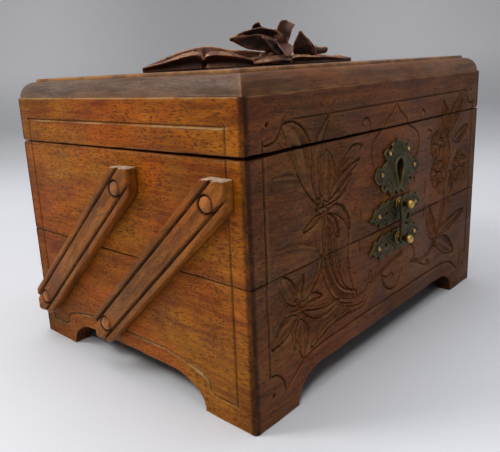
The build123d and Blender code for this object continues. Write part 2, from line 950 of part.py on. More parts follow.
with BuildPart() as lid_catch:
    box_between(
        (lock_x - catch_width / 2, lock_back_y - catch_depth, tray_top),
        (lock_x + catch_width / 2, lock_back_y, tray_top + catch_plate),
    )
    box_between(
        (lock_x - hook_post_width / 2, post_back_y - hook_post, tray_top - hook_drop),
        (lock_x + hook_post_width / 2, post_back_y, tray_top),
    )
    box_between(
        (lock_x - hook_post_width / 2, post_back_y, tray_top - hook_drop),
        (lock_x + hook_post_width / 2, post_back_y + hook_toe, toe_top),
    )
    for place in catch_screw_places():
        screw_at(place, mode=Mode.SUBTRACT)
keep(lid_catch, "lid_catch")

with BuildPart() as catch_screws:
    for place in catch_screw_places():
        screw_at(place)
keep(catch_screws, "catch_screws")


# --- Carved spray ---
def leaf_solid(tip_x, root_x, width, rise):
    """A leaf lying on the lid: pointed in plan, arched in side view."""
    length = root_x - tip_x
    with BuildSketch(Plane((0, middle_y, lid_top))) as shape:
        with BuildLine():
            Spline((tip_x, 0), (tip_x + 0.45 * length, width / 2), (root_x, 0.2 * width))
            Line((root_x, 0.2 * width), (root_x, -0.2 * width))
            Spline((root_x, -0.2 * width), (tip_x + 0.45 * length, -width / 2), (tip_x, 0))
        make_face()
    extrude(shape.sketch, amount=rise)
    with BuildSketch(Plane.XZ.offset(-middle_y)) as shape:
        with BuildLine():
            Spline(
                (tip_x, lid_top + 0.15 * rise),
                (tip_x + 0.5 * length, lid_top + rise),
                (root_x, lid_top + 0.55 * rise),
            )
            Polyline(
                (root_x, lid_top + 0.55 * rise),
                (root_x, lid_top),
                (tip_x, lid_top),
                (tip_x, lid_top + 0.15 * rise),
            )
        make_face()
    extrude(shape.sketch, amount=width, both=True, mode=Mode.INTERSECT)


with BuildPart() as carved_leaf:
    leaf_solid(leaf_tip_x, leaf_tip_x + leaf_length, leaf_width, leaf_rise)
with BuildPart() as carved_sprig:
    leaf_solid(sprig_tip_x, sprig_tip_x - sprig_length, sprig_width, sprig_rise)
with BuildPart() as carved_leaves:
    add(carved_leaf.part)
    add(carved_sprig.part)
keep(carved_leaves, "carved_leaves")


def petal(centre, heading, tilt, length, width):
    """A pointed petal that starts at a centre, heading round Z and tilting up."""
    across = Vector(-math.sin(math.radians(heading)), math.cos(math.radians(heading)), 0)
    level = Vector(math.cos(math.radians(heading)), math.sin(math.radians(heading)), 0)
    along = level * math.cos(math.radians(tilt)) + up * math.sin(math.radians(tilt))
    with BuildSketch(Plane(centre, x_dir=along, z_dir=along.cross(across))) as shape:
        with BuildLine():
            Spline((0, 0.12 * width), (0.6 * length, width / 2), (length, 0))
            Spline((length, 0), (0.6 * length, -width / 2), (0, -0.12 * width))
            Line((0, -0.12 * width), (0, 0.12 * width))
        make_face()
    extrude(shape.sketch, amount=petal_thickness / 2, both=True)


def trim_flower():
    """Keep a flower above the lid and below its height, and seat it on the leaves."""
    with BuildSketch(Plane((0, middle_y, lid_top))) as shape:
        Rectangle(body_width, body_depth)
    extrude(shape.sketch, amount=flower_height, mode=Mode.INTERSECT)
    add(carved_leaves.part, mode=Mode.SUBTRACT)


with BuildPart() as carved_flower:
    heart = Vector(flower_x, middle_y, lid_top + leaf_rise * 0.55)
    with Locations(heart):
        Sphere(flower_base)
    for heading, tilt in flower_angles:
        petal(heart, heading, tilt, petal_length, petal_width)
    trim_flower()
keep(carved_flower, "carved_flower")

with BuildPart() as carved_bud:
    heart = Vector(bud_x, middle_y, lid_top + sprig_rise * 0.6)
    with Locations(heart):
        Sphere(flower_base * 0.8)
    for heading, tilt in bud_angles:
        petal(heart, heading, tilt, bud_petal_length, bud_petal_width)
    trim_flower()
keep(carved_bud, "carved_bud")
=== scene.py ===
import math

import bmesh
import bpy
import numpy as np
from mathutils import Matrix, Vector


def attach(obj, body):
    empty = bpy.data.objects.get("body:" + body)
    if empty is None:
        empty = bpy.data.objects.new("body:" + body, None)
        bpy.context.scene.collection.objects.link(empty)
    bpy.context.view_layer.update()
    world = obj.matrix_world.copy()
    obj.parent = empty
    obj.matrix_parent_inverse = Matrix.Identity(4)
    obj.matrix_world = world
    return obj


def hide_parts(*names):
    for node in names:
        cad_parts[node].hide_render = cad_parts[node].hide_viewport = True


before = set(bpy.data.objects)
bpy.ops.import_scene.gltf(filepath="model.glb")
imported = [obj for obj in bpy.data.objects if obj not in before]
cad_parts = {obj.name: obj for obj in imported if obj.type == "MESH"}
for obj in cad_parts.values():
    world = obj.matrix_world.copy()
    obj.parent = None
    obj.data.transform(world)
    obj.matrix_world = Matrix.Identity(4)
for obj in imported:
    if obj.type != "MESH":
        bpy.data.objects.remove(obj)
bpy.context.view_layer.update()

MM = 0.001

# ---------------------------------------------------------------- sizes of the box, in mm
half_width, half_depth = 98.0, 72.0
front_y, back_y = -67.6, 76.4
middle_y = (front_y + back_y) / 2
seam_z, rim_z, wall_top, moulding_top, lid_top = 56.0, 100.0, 120.0, 127.2, 128.6
tiers = {"base": (0.0, seam_z), "tray": (seam_z, rim_z), "lid": (rim_z, wall_top)}
board, corner_flat = 8.0, 0.7        # how thick a board is, and the flat down each mitred corner
foot_length, foot_nick, apron = 26.0, 1.0, 12.6
arch_round = {"front": 16.0, "back": 16.0, "left": 19.0, "right": 19.0}
border_inset = {"back": 9.0, "left": 8.6, "right": 8.6}
floor_top = {"base": 18.6, "tray": 61.5}
pad_x, pad_y = 88.6, 62.6            # how far a pad may reach from its middle
pad_high, pad_room = 3.44, 3.5
arm_low, arm_high = (-8.5, 23.5), (58.5, 85.6)
arm_spacing = 50.5
lock_x, lock_half, keyhole_z, shield_z = 3.5, 18.05, 80.2, 82.2
latch_z = {"tray": (62.8, 65.6), "base": (48.2, 49.5)}     # the middle of each brass plate, and its stud
plate_thick, tack_x = 1.15, 17.0
hinge_x, hinge_y = 60, 73.9
grid_step = 1.2                      # the carving is set out on a grid of 1.2 mm

# Each side: middle of its outer face at the ground, direction along it, and half its length.
sides = {
    "front": (Vector((0, front_y, 0)), Vector((1, 0, 0)), half_width),
    "back": (Vector((0, back_y, 0)), Vector((-1, 0, 0)), half_width),
    "left": (Vector((-half_width, middle_y, 0)), Vector((0, -1, 0)), half_depth),
    "right": (Vector((half_width, middle_y, 0)), Vector((0, 1, 0)), half_depth),
}


def cell(fine):
    return fine


def limit(values, low=0, high=1):
    """Values kept between two limits."""
    return np.clip(values, low, high)


# ---------------------------------------------------------------- node building
def fill(tree, node, inputs):
    """Fill a node's inputs with values or links."""
    for name, value in inputs.items():
        socket = node.inputs[name]
        if isinstance(value, bpy.types.NodeSocket):
            tree.links.new(value, socket)
        else:
            socket.default_value = value
    return node


def put(tree, kind, inputs=None, **settings):
    """Add a node with its settings and inputs."""
    node = tree.nodes.new(kind)
    for name, value in settings.items():
        setattr(node, name, value)
    return fill(tree, node, inputs or {})


def blend_colour(tree, share, first, second, how="MIX"):
    mix = put(tree, "ShaderNodeMix", {0: share, 6: first, 7: second}, data_type="RGBA", blend_type=how)
    return mix.outputs[2]


def reckon(tree, how, *values):
    return put(tree, "ShaderNodeMath", dict(enumerate(values)), operation=how).outputs[0]


def times(tree, first, second):
    return reckon(tree, "MULTIPLY", first, second)


def spread(tree, value, low, high, to_low=0.0, to_high=1.0):
    """A smooth ramp from one range of values to another."""
    ramp = {0: value, 1: low, 2: high, 3: to_low, 4: to_high}
    return put(tree, "ShaderNodeMapRange", ramp, interpolation_type="SMOOTHSTEP").outputs[0]


def by_axis(tree, how, vector, *other, gives="Vector"):
    return put(tree, "ShaderNodeVectorMath", dict(enumerate((vector, *other))), operation=how).outputs[gives]


def noise(tree, vector, scale, detail=3.0, rough=0.55, twist=0.0, gives="Fac"):
    inputs = {"Vector": vector, "Scale": scale, "Detail": detail, "Roughness": rough, "Distortion": twist}
    return put(tree, "ShaderNodeTexNoise", inputs).outputs[gives]


def new_group(name, colours, values, gives):
    """A node group that takes a place, colours and values; returns it with its two ends."""
    group = bpy.data.node_groups.new(name, "ShaderNodeTree")
    group.interface.new_socket("Place", in_out="INPUT", socket_type="NodeSocketVector")
    for kind, starts in (("Color", colours), ("Float", values)):
        for label, start in starts.items():
            socket = group.interface.new_socket(label, in_out="INPUT", socket_type="NodeSocket" + kind)
            socket.default_value = start
    for label in gives:
        kind = "Color" if label == "Colour" else "Float"
        group.interface.new_socket(label, in_out="OUTPUT", socket_type="NodeSocket" + kind)
    return group, put(group, "NodeGroupInput").outputs, put(group, "NodeGroupOutput")


# ---------------------------------------------------------------- shared effects
def walnut_figure():
    """Walnut with its grain along X: clouds of tone, streaks, fibres, open pores and flecks."""
    group, given, out = new_group(
        "walnut figure", {"Pale": (0.3, 0.14, 0.05, 1), "Dark": (0.12, 0.05, 0.02, 1)},
        {"Clouds": 0.6, "Streaks": 0.6, "Flecks": 0.3, "Pores": 0.6, "Drift": 0.5}, ["Colour", "Height"])
    place = given["Place"]
    wander = by_axis(group, "MULTIPLY", noise(group, place, 22.0, 2.0, 0.5, gives="Color"), (0.02, 0.006, 0.006))
    bent = by_axis(group, "ADD", place, wander)

    def drawn(vector, squeeze):
        """The pattern drawn out along the grain."""
        return by_axis(group, "MULTIPLY", vector, (1, squeeze, squeeze))

    def tint(share, first, second, how="MIX"):
        return blend_colour(group, share, first, second, how)

    clouds = spread(group, noise(group, drawn(bent, 2.2), 26, 4, 0.6, 0.4), 0.3, 0.7)
    streaks = spread(group, noise(group, drawn(bent, 12), 34, 5, 0.6, 0.3), 0.32, 0.68)
    fibres = noise(group, drawn(bent, 22), 150, 4, 0.65)
    pores = spread(group, noise(group, drawn(bent, 5.5), 480, 2, 0.5), 0.55, 0.68)
    eyes = put(group, "ShaderNodeTexVoronoi", {"Vector": drawn(bent, 2.6), "Scale": 400.0, "Randomness": 1.0})
    flecks = times(group, spread(group, eyes.outputs["Distance"], 0.5, 0.15),
                   spread(group, noise(group, bent, 60, 2), 0.36, 0.56))
    tone = reckon(group, "ADD", times(group, clouds, given["Clouds"]), times(group, streaks, given["Streaks"]))
    colour = tint(spread(group, tone, 0.0, 1.25), given["Pale"], given["Dark"])
    shade = tint(spread(group, fibres, 0.3, 0.7), (0.74, 0.72, 0.7, 1), (1.2, 1.2, 1.2, 1))
    colour = tint(1.0, colour, shade, "MULTIPLY")
    hue = spread(group, noise(group, drawn(place, 1.5), 17, 3, 0.6, 0.5), 0.36, 0.64)
    colour = tint(given["Drift"], colour, tint(hue, (1.04, 0.84, 0.72, 1), (0.94, 1.16, 1.3, 1)), "MULTIPLY")
    dark = tint(1.0, given["Dark"], (0.45, 0.42, 0.4, 1), "MULTIPLY")
    for marks, strength in ((flecks, given["Flecks"]), (pores, given["Pores"])):
        colour = tint(times(group, marks, strength), colour, dark)
    fill(group, out, {"Colour": colour, "Height": reckon(group, "SUBTRACT", times(group, fibres, 0.5), pores)})
    return group


def handling():
    """Years of use with painted light: grime and painted shade in the hollows, bare colour and painted highlights on
    the crests, both broken up.
    """
    group, given, out = new_group(
        "handling",
        {"Colour": (0, 0, 0, 1), "Grime colour": (0.01, 0.006, 0.004, 1), "Worn_and_lit colour": (0.5, 0.3, 0.15, 1)},
        {"Grime": 0.8, "Wear": 0.6}, ["Colour", "Grime mask", "Wear mask"])

    def broken(label, scale, detail, low, least):
        """The mask painted on the mesh, at the given strength, broken up by noise."""
        painted = put(group, "ShaderNodeAttribute", attribute_name=label.lower()).outputs["Fac"]
        patches = spread(group, noise(group, given["Place"], scale, detail, 0.6), low, 0.62)
        return times(group, times(group, painted, given[label]), spread(group, patches, 0, 1, least, 1.0))

    grime, wear = broken("Grime", 190, 4, 0.3, 0.7), broken("Wear", 75, 3, 0.38, 0.25)
    colour = blend_colour(group, wear, given["Colour"], given["Worn_and_lit colour"])
    colour = blend_colour(group, grime, colour, given["Grime colour"])
    fill(group, out, {"Colour": colour, "Grime mask": grime, "Wear mask": wear})
    return group


walnut_group, handling_group = walnut_figure(), handling()


def handled(tree, place, colour, worn_and_lit, grime, wear, darkening=(0.01, 0.006, 0.004, 1)):
    """The colour with the marks of handling, painted shade and painted highlights on it, and their masks."""
    inputs = {"Place": place, "Colour": colour, "Worn_and_lit colour": worn_and_lit, "Grime": grime, "Wear": wear, "Grime colour": darkening}
    return put(tree, "ShaderNodeGroup", inputs, node_tree=handling_group).outputs


def bumped(tree, height, strength, distance):
    return put(tree, "ShaderNodeBump", {"Height": height, "Strength": strength, "Distance": distance}).outputs[0]


def new_material(name):
    material = bpy.data.materials.new(name)
    material.use_nodes = True
    tree = material.node_tree
    tree.nodes.clear()
    shader = put(tree, "ShaderNodeBsdfPrincipled")
    put(tree, "ShaderNodeOutputMaterial", {"Surface": shader.outputs[0]})
    return material, tree, shader, put(tree, "ShaderNodeTexCoord").outputs["Object"]


def rgb(r, g, b):
    return (r, g, b, 1)


along_x = (0, 0, 0)
along_y = (0, 0, math.radians(-90))
along_arm = (math.atan2(arm_high[1] - arm_low[1], arm_high[0] - arm_low[0]), 0, math.radians(90))
mixed_grain, end_grain = (0.3, 0.9, 0.2), (0.6, 0.8, 0.3)


def wood(name, pale, dark, grain=along_x, clouds=0.6, streaks=0.6, flecks=0.3, pores=0.6, drift=0.5,
         worn_and_lit=(0.42, 0.24, 0.11, 1), wear=0.6, grime=0.8, rough=0.42, sheen=0.06, gloss=0.2, relief=0.12,
         shift=(0, 0, 0)):
    """Oiled or waxed walnut."""
    material, tree, shader, place = new_material(name)
    turned = put(tree, "ShaderNodeMapping", {"Vector": place, "Rotation": grain, "Location": shift}).outputs[0]
    figure = put(tree, "ShaderNodeGroup", node_tree=walnut_group)
    fill(tree, figure, {"Place": turned, "Pale": pale, "Dark": dark, "Clouds": clouds, "Streaks": streaks,
                        "Flecks": flecks, "Pores": pores, "Drift": drift})
    used = handled(tree, turned, figure.outputs["Colour"], worn_and_lit, grime, wear)
    polish = spread(tree, noise(tree, turned, 45, 3), 0.3, 0.7, rough - 0.06, rough + 0.1)
    fill(tree, shader, {
        "Base Color": used["Colour"],
        "Roughness": reckon(tree, "ADD", times(tree, used["Grime mask"], 0.3), polish),
        "Specular IOR Level": gloss, "Coat Weight": sheen, "Coat Roughness": 0.35,
        "Normal": bumped(tree, figure.outputs["Height"], relief * 4, 0.0002)})
    return material


side_tones = (rgb(0.43, 0.126, 0.005), rgb(0.19, 0.042, 0.002))
figured = dict(clouds=0.7, streaks=0.55, flecks=0.75, pores=0.85, drift=1.0, worn_and_lit=rgb(0.44, 0.29, 0.12), wear=0.75,
               rough=0.5, sheen=0.0, gloss=0.12)
edged = dict(worn_and_lit=rgb(0.5, 0.25, 0.1), rough=0.42)
side_walnut = wood("side walnut", *side_tones, along_y, **figured)
back_walnut = wood("back walnut", *side_tones, along_x, **figured, shift=(0.3, 0.1, 0))
front_walnut = wood("carved front walnut", rgb(0.215, 0.064, 0.011), rgb(0.073, 0.019, 0.003), flecks=0.4, pores=1.0,
                    worn_and_lit=rgb(0.33, 0.175, 0.075), wear=0.75, rough=0.46, sheen=0.0, gloss=0.12, relief=0.25)
long_moulding = wood("brown moulding, long", rgb(0.19, 0.072, 0.025), rgb(0.074, 0.026, 0.009), gloss=0.12, **edged)
# The short runs are paler and greyer than the long ones: a painted reflection of the room.
reflection_grey_moulding = wood("reflection_grey moulding, short", rgb(0.17, 0.1, 0.066), rgb(0.066, 0.037, 0.024), along_y,
                      sheen=0.08, gloss=0.15, **edged)
lid_walnut = wood("lid walnut", rgb(0.2, 0.085, 0.034), rgb(0.085, 0.031, 0.012), worn_and_lit=rgb(0.55, 0.25, 0.07),
                  wear=0.8, rough=0.4, sheen=0.15)
arm_walnut = wood("arm walnut", rgb(0.37, 0.118, 0.014), rgb(0.145, 0.043, 0.006), along_arm, streaks=0.7, flecks=0.4,
                  pores=0.8, worn_and_lit=rgb(0.27, 0.08, 0.01), wear=0.75, grime=1.0, rough=0.45, sheen=0.0, gloss=0.12)
# Pale end grain for the level ends of the arms, partly a painted highlight.
arm_end_grain_and_highlight = wood("arm end grain", rgb(0.6, 0.46, 0.33), rgb(0.3, 0.2, 0.12), end_grain, clouds=0.3,
                     worn_and_lit=rgb(0.7, 0.58, 0.45), rough=0.7, sheen=0.0, relief=0.5)
spray_walnut = wood("carved spray walnut", rgb(0.13, 0.032, 0.01), rgb(0.042, 0.012, 0.005), clouds=0.5,
                    worn_and_lit=rgb(0.62, 0.32, 0.17), wear=0.95, grime=1.0, rough=0.38, sheen=0.0)
pin_walnut = wood("pin wood", rgb(0.49, 0.145, 0.018), rgb(0.15, 0.05, 0.018), mixed_grain, clouds=0.9,
                  worn_and_lit=rgb(0.55, 0.19, 0.03), wear=0.5, sheen=0.04)
floor_deal = wood("floor board deal", rgb(0.24, 0.14, 0.065), rgb(0.11, 0.06, 0.028), rough=0.6, sheen=0.0)


def metal(name, colour, stained, worn_and_lit, rough, stain=0.6):
    """Metal with tarnish in clouds, dark hollows and rubbed crests."""
    material, tree, shader, place = new_material(name)
    clouds = spread(tree, noise(tree, place, 240, 5, 0.65, 0.3), 0.35, 0.65)
    patina = blend_colour(tree, times(tree, clouds, stain), colour, stained)
    used = handled(tree, place, patina, worn_and_lit, 0.9, 0.9, rgb(0.012, 0.012, 0.008))
    rubbed = spread(tree, used["Wear mask"], 0, 0.6, rough, rough * 0.6)
    fill(tree, shader, {
        "Base Color": used["Colour"], "Roughness": reckon(tree, "ADD", rubbed, times(tree, clouds, 0.14)),
        "Metallic": 1.0, "Normal": bumped(tree, noise(tree, place, 900, 3, 0.6), 0.35, 0.0001)})
    return material


aged_brass = metal("aged brass", rgb(0.072, 0.053, 0.022), rgb(0.028, 0.029, 0.017), rgb(0.36, 0.25, 0.09), 0.5)
bright_brass = metal("rubbed brass", rgb(0.34, 0.2, 0.05), rgb(0.15, 0.085, 0.024), rgb(0.75, 0.5, 0.17), 0.3, 0.8)
lock_steel = metal("dull steel", rgb(0.3, 0.29, 0.27), rgb(0.12, 0.1, 0.08), rgb(0.5, 0.48, 0.45), 0.45)
# Near-black: partly blackened iron, partly painted shade so that the keyhole looks dark.
lock_iron_and_keyhole_shade = metal("blackened lock iron", rgb(0.022, 0.02, 0.018), rgb(0.01, 0.009, 0.008), rgb(0.1, 0.09, 0.08), 0.7)


def velvet():
    """Deep red velvet: a dark pile that brightens at the edges, rubbed in clouds."""
    material, tree, shader, place = new_material("red velvet")
    rubbed = spread(tree, noise(tree, place, 38, 4, 0.6), 0.35, 0.68)
    pile = noise(tree, place, 2600, 2, 0.5)
    colour = blend_colour(tree, rubbed, rgb(0.16, 0.008, 0.014), rgb(0.26, 0.02, 0.03))
    shade = blend_colour(tree, pile, rgb(0.7, 0.7, 0.7), rgb(1.2, 1.2, 1.2))
    colour = blend_colour(tree, 1.0, colour, shade, "MULTIPLY")
    fill(tree, shader, {
        "Base Color": handled(tree, place, colour, rgb(0.34, 0.06, 0.07), 0.7, 0.5, rgb(0.03, 0.002, 0.004))["Colour"],
        "Roughness": 0.95, "Sheen Weight": 0.6, "Sheen Roughness": 0.35, "Sheen Tint": rgb(0.8, 0.25, 0.28),
        "Normal": bumped(tree, pile, 0.6, 0.0003)})
    return material


red_velvet = velvet()


# ---------------------------------------------------------------- mesh building
def add_object(name, data):
    item = bpy.data.objects.new(name, data)
    bpy.context.scene.collection.objects.link(item)
    return item


def shade_smooth(mesh, smooth=True):
    mesh.polygons.foreach_set("use_smooth", np.full(len(mesh.polygons), smooth))
    mesh.update()


def make_piece(name, points, faces, material=None, smooth=True):
    """A piece from points in mm and faces, at the origin in metres, with outward faces."""
    mesh = bpy.data.meshes.new(name)
    mesh.from_pydata((np.asarray(points, float) * MM).tolist(), [], faces)
    if material:
        mesh.materials.append(material)
    shell = bmesh.new()
    shell.from_mesh(mesh)
    bmesh.ops.recalc_face_normals(shell, faces=shell.faces)
    shell.to_mesh(mesh)
    shell.free()
    shade_smooth(mesh, smooth)
    return add_object(name, mesh)


def tube(rings, size, joined=False):
    """Faces over rings of points: a closed tube with two ends, or with its last ring joined to its first."""
    faces = []
    for c in range(rings if joined else rings - 1):
        a, b = c * size, (c + 1) % rings * size
        faces += [(a + n, b + n, b + (n + 1) % size, a + (n + 1) % size) for n in range(size)]
    ends = [] if joined else [tuple(range(size)), tuple(range((rings - 1) * size, rings * size))]
    return faces + ends


def set_masks(piece, grime, wear):
    """Say, at each point of a piece, how dark it is with grime and painted shade, and how pale with wear and painted
    highlight.
    """
    held = piece.data.attributes
    for label, values in (("grime", grime), ("wear", wear)):
        mask = held.get(label) or held.new(label, "FLOAT", "POINT")
        mask.data.foreach_set("value", np.asarray(values, np.float32))


def get_masks(piece):
    """The grime and painted shade, and the wear and painted highlight, on a piece."""
    found = [np.empty(len(piece.data.vertices), np.float32) for _ in range(2)]
    for label, values in zip(("grime", "wear"), found):
        piece.data.attributes[label].data.foreach_get("value", values)
    return found


def sharpen(piece, degrees):
    """Keep edges sharper than this angle crisp."""
    piece.data.set_sharp_from_angle(angle=math.radians(degrees))


def mesh_points(mesh):
    points = np.empty(len(mesh.vertices) * 3)
    mesh.vertices.foreach_get("co", points)
    return points.reshape(-1, 3) / MM


def put_points(mesh, points):
    mesh.vertices.foreach_set("co", (points * MM).ravel())
    mesh.update()


def vertex_normals(mesh):
    normals = np.empty(len(mesh.vertices) * 3)
    mesh.vertices.foreach_get("normal", normals)
    return normals.reshape(-1, 3)


def settle(piece):
    """Turn a piece and its modifiers into a plain mesh."""
    bpy.context.view_layer.update()
    mesh = bpy.data.meshes.new_from_object(piece.evaluated_get(bpy.context.evaluated_depsgraph_get()))
    piece.modifiers.clear()
    piece.data = mesh
    return piece


def cut_away(piece, *cutters):
    """Cut pockets out of a piece, and clear the cutters away."""
    for cutter in cutters:
        tool = piece.modifiers.new("pocket", "BOOLEAN")
        tool.operation, tool.solver, tool.object = "DIFFERENCE", "EXACT", cutter
    settle(piece)
    for cutter in cutters:
        bpy.data.objects.remove(cutter)
    return piece


def remesh(piece, voxel, smooth=False):
    """Turn a piece into one skin of even cells."""
    tool = piece.modifiers.new("fuse", "REMESH")
    tool.mode, tool.voxel_size, tool.use_smooth_shade = "VOXEL", voxel * MM, smooth
    return settle(piece)


def fuse(piece, voxel, relax=2):
    """Melt a piece into one skin, its edges a little softened."""
    remesh(piece, voxel, smooth=True)
    put_points(piece.data, Smoother(piece.data).average(mesh_points(piece.data), relax))
    shade_smooth(piece.data)
    return piece


class Smoother:
    """Averages values over a mesh's neighbouring vertices."""

    def __init__(self, mesh):
        edges = np.empty(len(mesh.edges) * 2, np.int32)
        mesh.edges.foreach_get("vertices", edges)
        self.a, self.b = edges.reshape(-1, 2).T
        self.count = len(mesh.vertices)
        self.degree = np.bincount(self.a, minlength=self.count) + np.bincount(self.b, minlength=self.count) + 1.0

    def average(self, values, rounds):
        values = np.array(values, float).reshape(self.count, -1)
        for _ in range(rounds):
            mean = [np.bincount(self.a, column[self.b], self.count) + np.bincount(self.b, column[self.a], self.count)
                    for column in values.T]
            values = (np.stack(mean, 1) + values) / self.degree[:, None]
        return values if values.shape[1] > 1 else values[:, 0]


def age(piece, reach, crest, hollow):
    """Mark the parts of a skin that stand proud as worn, and those that lie deep as dark: grime, and on the carved
    spray painted shade as well.
    """
    smoother, points = Smoother(piece.data), mesh_points(piece.data)
    bulge = ((points - smoother.average(points, reach)) * vertex_normals(piece.data)).sum(1)
    bulge = smoother.average(bulge, 1)
    set_masks(piece, limit(-bulge * hollow - 0.05), limit(bulge * crest - 0.08))


def dress(piece, slot, body, *nodes):
    """Put a piece in the place of its CAD nodes, which it hides, on their body; the slot is not used."""
    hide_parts(*nodes)
    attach(piece, body)


def through(points, steps):
    """A smooth line through points."""
    points = np.asarray(points, float)
    if len(points) < 3:
        return np.linspace(points[0], points[-1], steps + 1)
    padded = np.vstack([2 * points[0] - points[1], points, 2 * points[-1] - points[-2]])
    t = np.linspace(0, 1, steps, endpoint=False)[:, None]
    line = []
    for a, b, c, d in zip(padded[:-3], padded[1:-2], padded[2:-1], padded[3:]):
        line.append(0.5 * (2 * b + (c - a) * t + (2 * a - 5 * b + 4 * c - d) * t**2 + (3 * b - a - 3 * c + d) * t**3))
    return np.vstack(line + [points[-1:]])


def round_through(points, steps):
    """A smooth closed line through points."""
    return through(list(points) + [points[0]], steps)[:-1]


def unit(vectors):
    return vectors / np.linalg.norm(vectors, axis=1)[:, None]


def drawn_out(values, count):
    """A few values, spaced evenly and filled in to make count of them."""
    return np.interp(np.linspace(0, 1, count), np.linspace(0, 1, len(values)), values)


def near_line(across, height, line, reach):
    """For the cells near a line: which they are, how far off, how far along, and on which side."""
    low, high = line.min(0) - reach, line.max(0) + reach
    picked = np.nonzero((across > low[0]) & (across < high[0]) & (height > low[1]) & (height < high[1]))
    spots = np.stack([across[picked], height[picked]], 1)
    best = np.full(len(spots), 1e9)
    along, side = np.zeros(len(spots)), np.zeros(len(spots))
    steps = np.linalg.norm(np.diff(line, axis=0), axis=1)
    travelled = np.concatenate([[0], np.cumsum(steps)])
    for start, end, step, gone in zip(line[:-1], line[1:], steps, travelled):
        way = (end - start) / step
        share = limit((spots - start) @ way, 0, step)
        off = spots - start - share[:, None] * way
        far = np.hypot(off[:, 0], off[:, 1])
        closer = far < best
        best[closer] = far[closer]
        along[closer] = (gone + share[closer]) / travelled[-1]
        side[closer] = np.sign(way[0] * off[closer, 1] - way[1] * off[closer, 0])
    return picked, best, along, side


# ---------------------------------------------------------------- carving on the front
class Carving:
    """Depth of cut, in mm, over a face, worked one tool stroke at a time; points are in grid steps."""

    def __init__(self, across, height):
        self.across, self.height = across, height
        self.depth, self.ground, self.polish = (np.zeros_like(across) for _ in range(3))

    def near(self, points, reach, steps=8):
        return near_line(self.across, self.height, through(points, steps) * grid_step, reach)

    def groove(self, points, width, depth, taper=0.12, steps=8):
        """A V cut along a smooth line, running out at its ends."""
        picked, far, along, _ = self.near(points, width, steps)
        ends = limit(np.minimum(along, 1 - along) / taper) ** 0.6 if taper else 1.0
        half = width / 2 * (0.45 + 0.55 * ends)
        cut = depth * ends * limit(1 - (far / half) ** 1.5)
        self.depth[picked] = np.maximum(self.depth[picked], cut)

    def grooves(self, *lines, **how):
        """Grooves of one kind."""
        for points in lines:
            self.groove(points, **how)

    def dot(self, x, z, radius, depth):
        """A round dimple."""
        far = np.hypot(self.across - x * grid_step, self.height - z * grid_step)
        self.depth = np.maximum(self.depth, depth * limit(1 - (far / radius) ** 2))

    def lower_ground(self, points, reach, depth):
        """Sink the ground softly round a line, so that what is on it stands up."""
        picked, far, _, _ = self.near(points, reach, 5)
        self.ground[picked] = np.maximum(self.ground[picked], depth * limit(1 - far / reach) ** 0.7)

    def leaf(self, points, width, hollow=0.8, edge=1.35, rib=0.45, peak=0.45, blunt=0.75, polish=0.0):
        """A leaf or petal on a midline: outlined, hollowed each side of its rib, and polished with a painted highlight
        on one side of it.
        """
        width = width * grid_step
        picked, far, along, side = self.near(points, width + 1.2)
        skew = math.log(0.5) / math.log(peak)
        half = np.maximum(width * np.sin(math.pi * limit(along, 1e-4, 1 - 1e-4) ** skew) ** blunt, 0.16)
        r = far / half
        body = hollow * (1 - (2 * r - 1) ** 2) * limit(half / width, 0.2)
        body += rib * limit(1 - far / 0.5) * limit(6 * along * (1 - along))
        level = np.where(r < 1, body, self.depth[picked])
        outline = edge * limit(1 - np.abs(far - half) / 0.75)
        self.depth[picked] = np.maximum(level, np.where(along < 0.999, outline, 0))
        # Polish with a painted highlight: lighter on one side of the rib.
        rubbed = polish * limit(1.15 - r) * limit(0.55 + side * r)
        self.polish[picked] = np.maximum(self.polish[picked], rubbed)

    def leaves(self, *rows, **how):
        """Leaves of one kind, each a width and a midline."""
        for width, *points in rows:
            self.leaf(points, width, **how)

    def stem(self, points, width, edge=1.0, lines=0):
        """A rounded stem with a cut along each side, and lines down its middle."""
        half = width * grid_step
        picked, far, _, side = self.near(points, half + 1.0)
        level = np.where(far < half, 0.45 * (far / half) ** 2, self.depth[picked])
        level = np.maximum(level, edge * limit(1 - np.abs(far - half) / 0.55))
        for number in range(lines):
            offset = half * (2 * (number + 1) / (lines + 1) - 1)
            level = np.maximum(level, 0.8 * limit(1 - np.abs(far * side - offset) / 0.5))
        self.depth[picked] = level

    def blossom(self, x, z, radius, turn):
        """An open flower: five broad scooped petals round a deep heart, on sunk ground."""
        petals = 5
        self.lower_ground([(x - 0.1, z), (x + 0.1, z)], radius * 1.5 * grid_step, 1.3)
        for number in range(petals):
            way = turn + number * 2 * math.pi / petals
            tip = (x + radius * math.cos(way), z + radius * math.sin(way))
            bend = (x + 0.55 * radius * math.cos(way + 0.12), z + 0.55 * radius * math.sin(way + 0.12))
            self.leaf([(x, z), bend, tip], radius * 0.4, 0.9, 1.7, rib=0.2, peak=0.66, blunt=0.55, polish=0.55)
        self.dot(x, z, 1.35, 1.6)

    def stamens(self, heart, tips, width, depth, radius, deep, bow=0.0):
        """Short cuts from a flower's heart, each ending in a dot."""
        for x, z in tips:
            middle = ((x + heart[0]) / 2, (z + heart[1]) / 2 + bow)
            self.groove([heart, middle, (x, z)], width, depth, 0.1)
            self.dot(x, z, radius, deep)


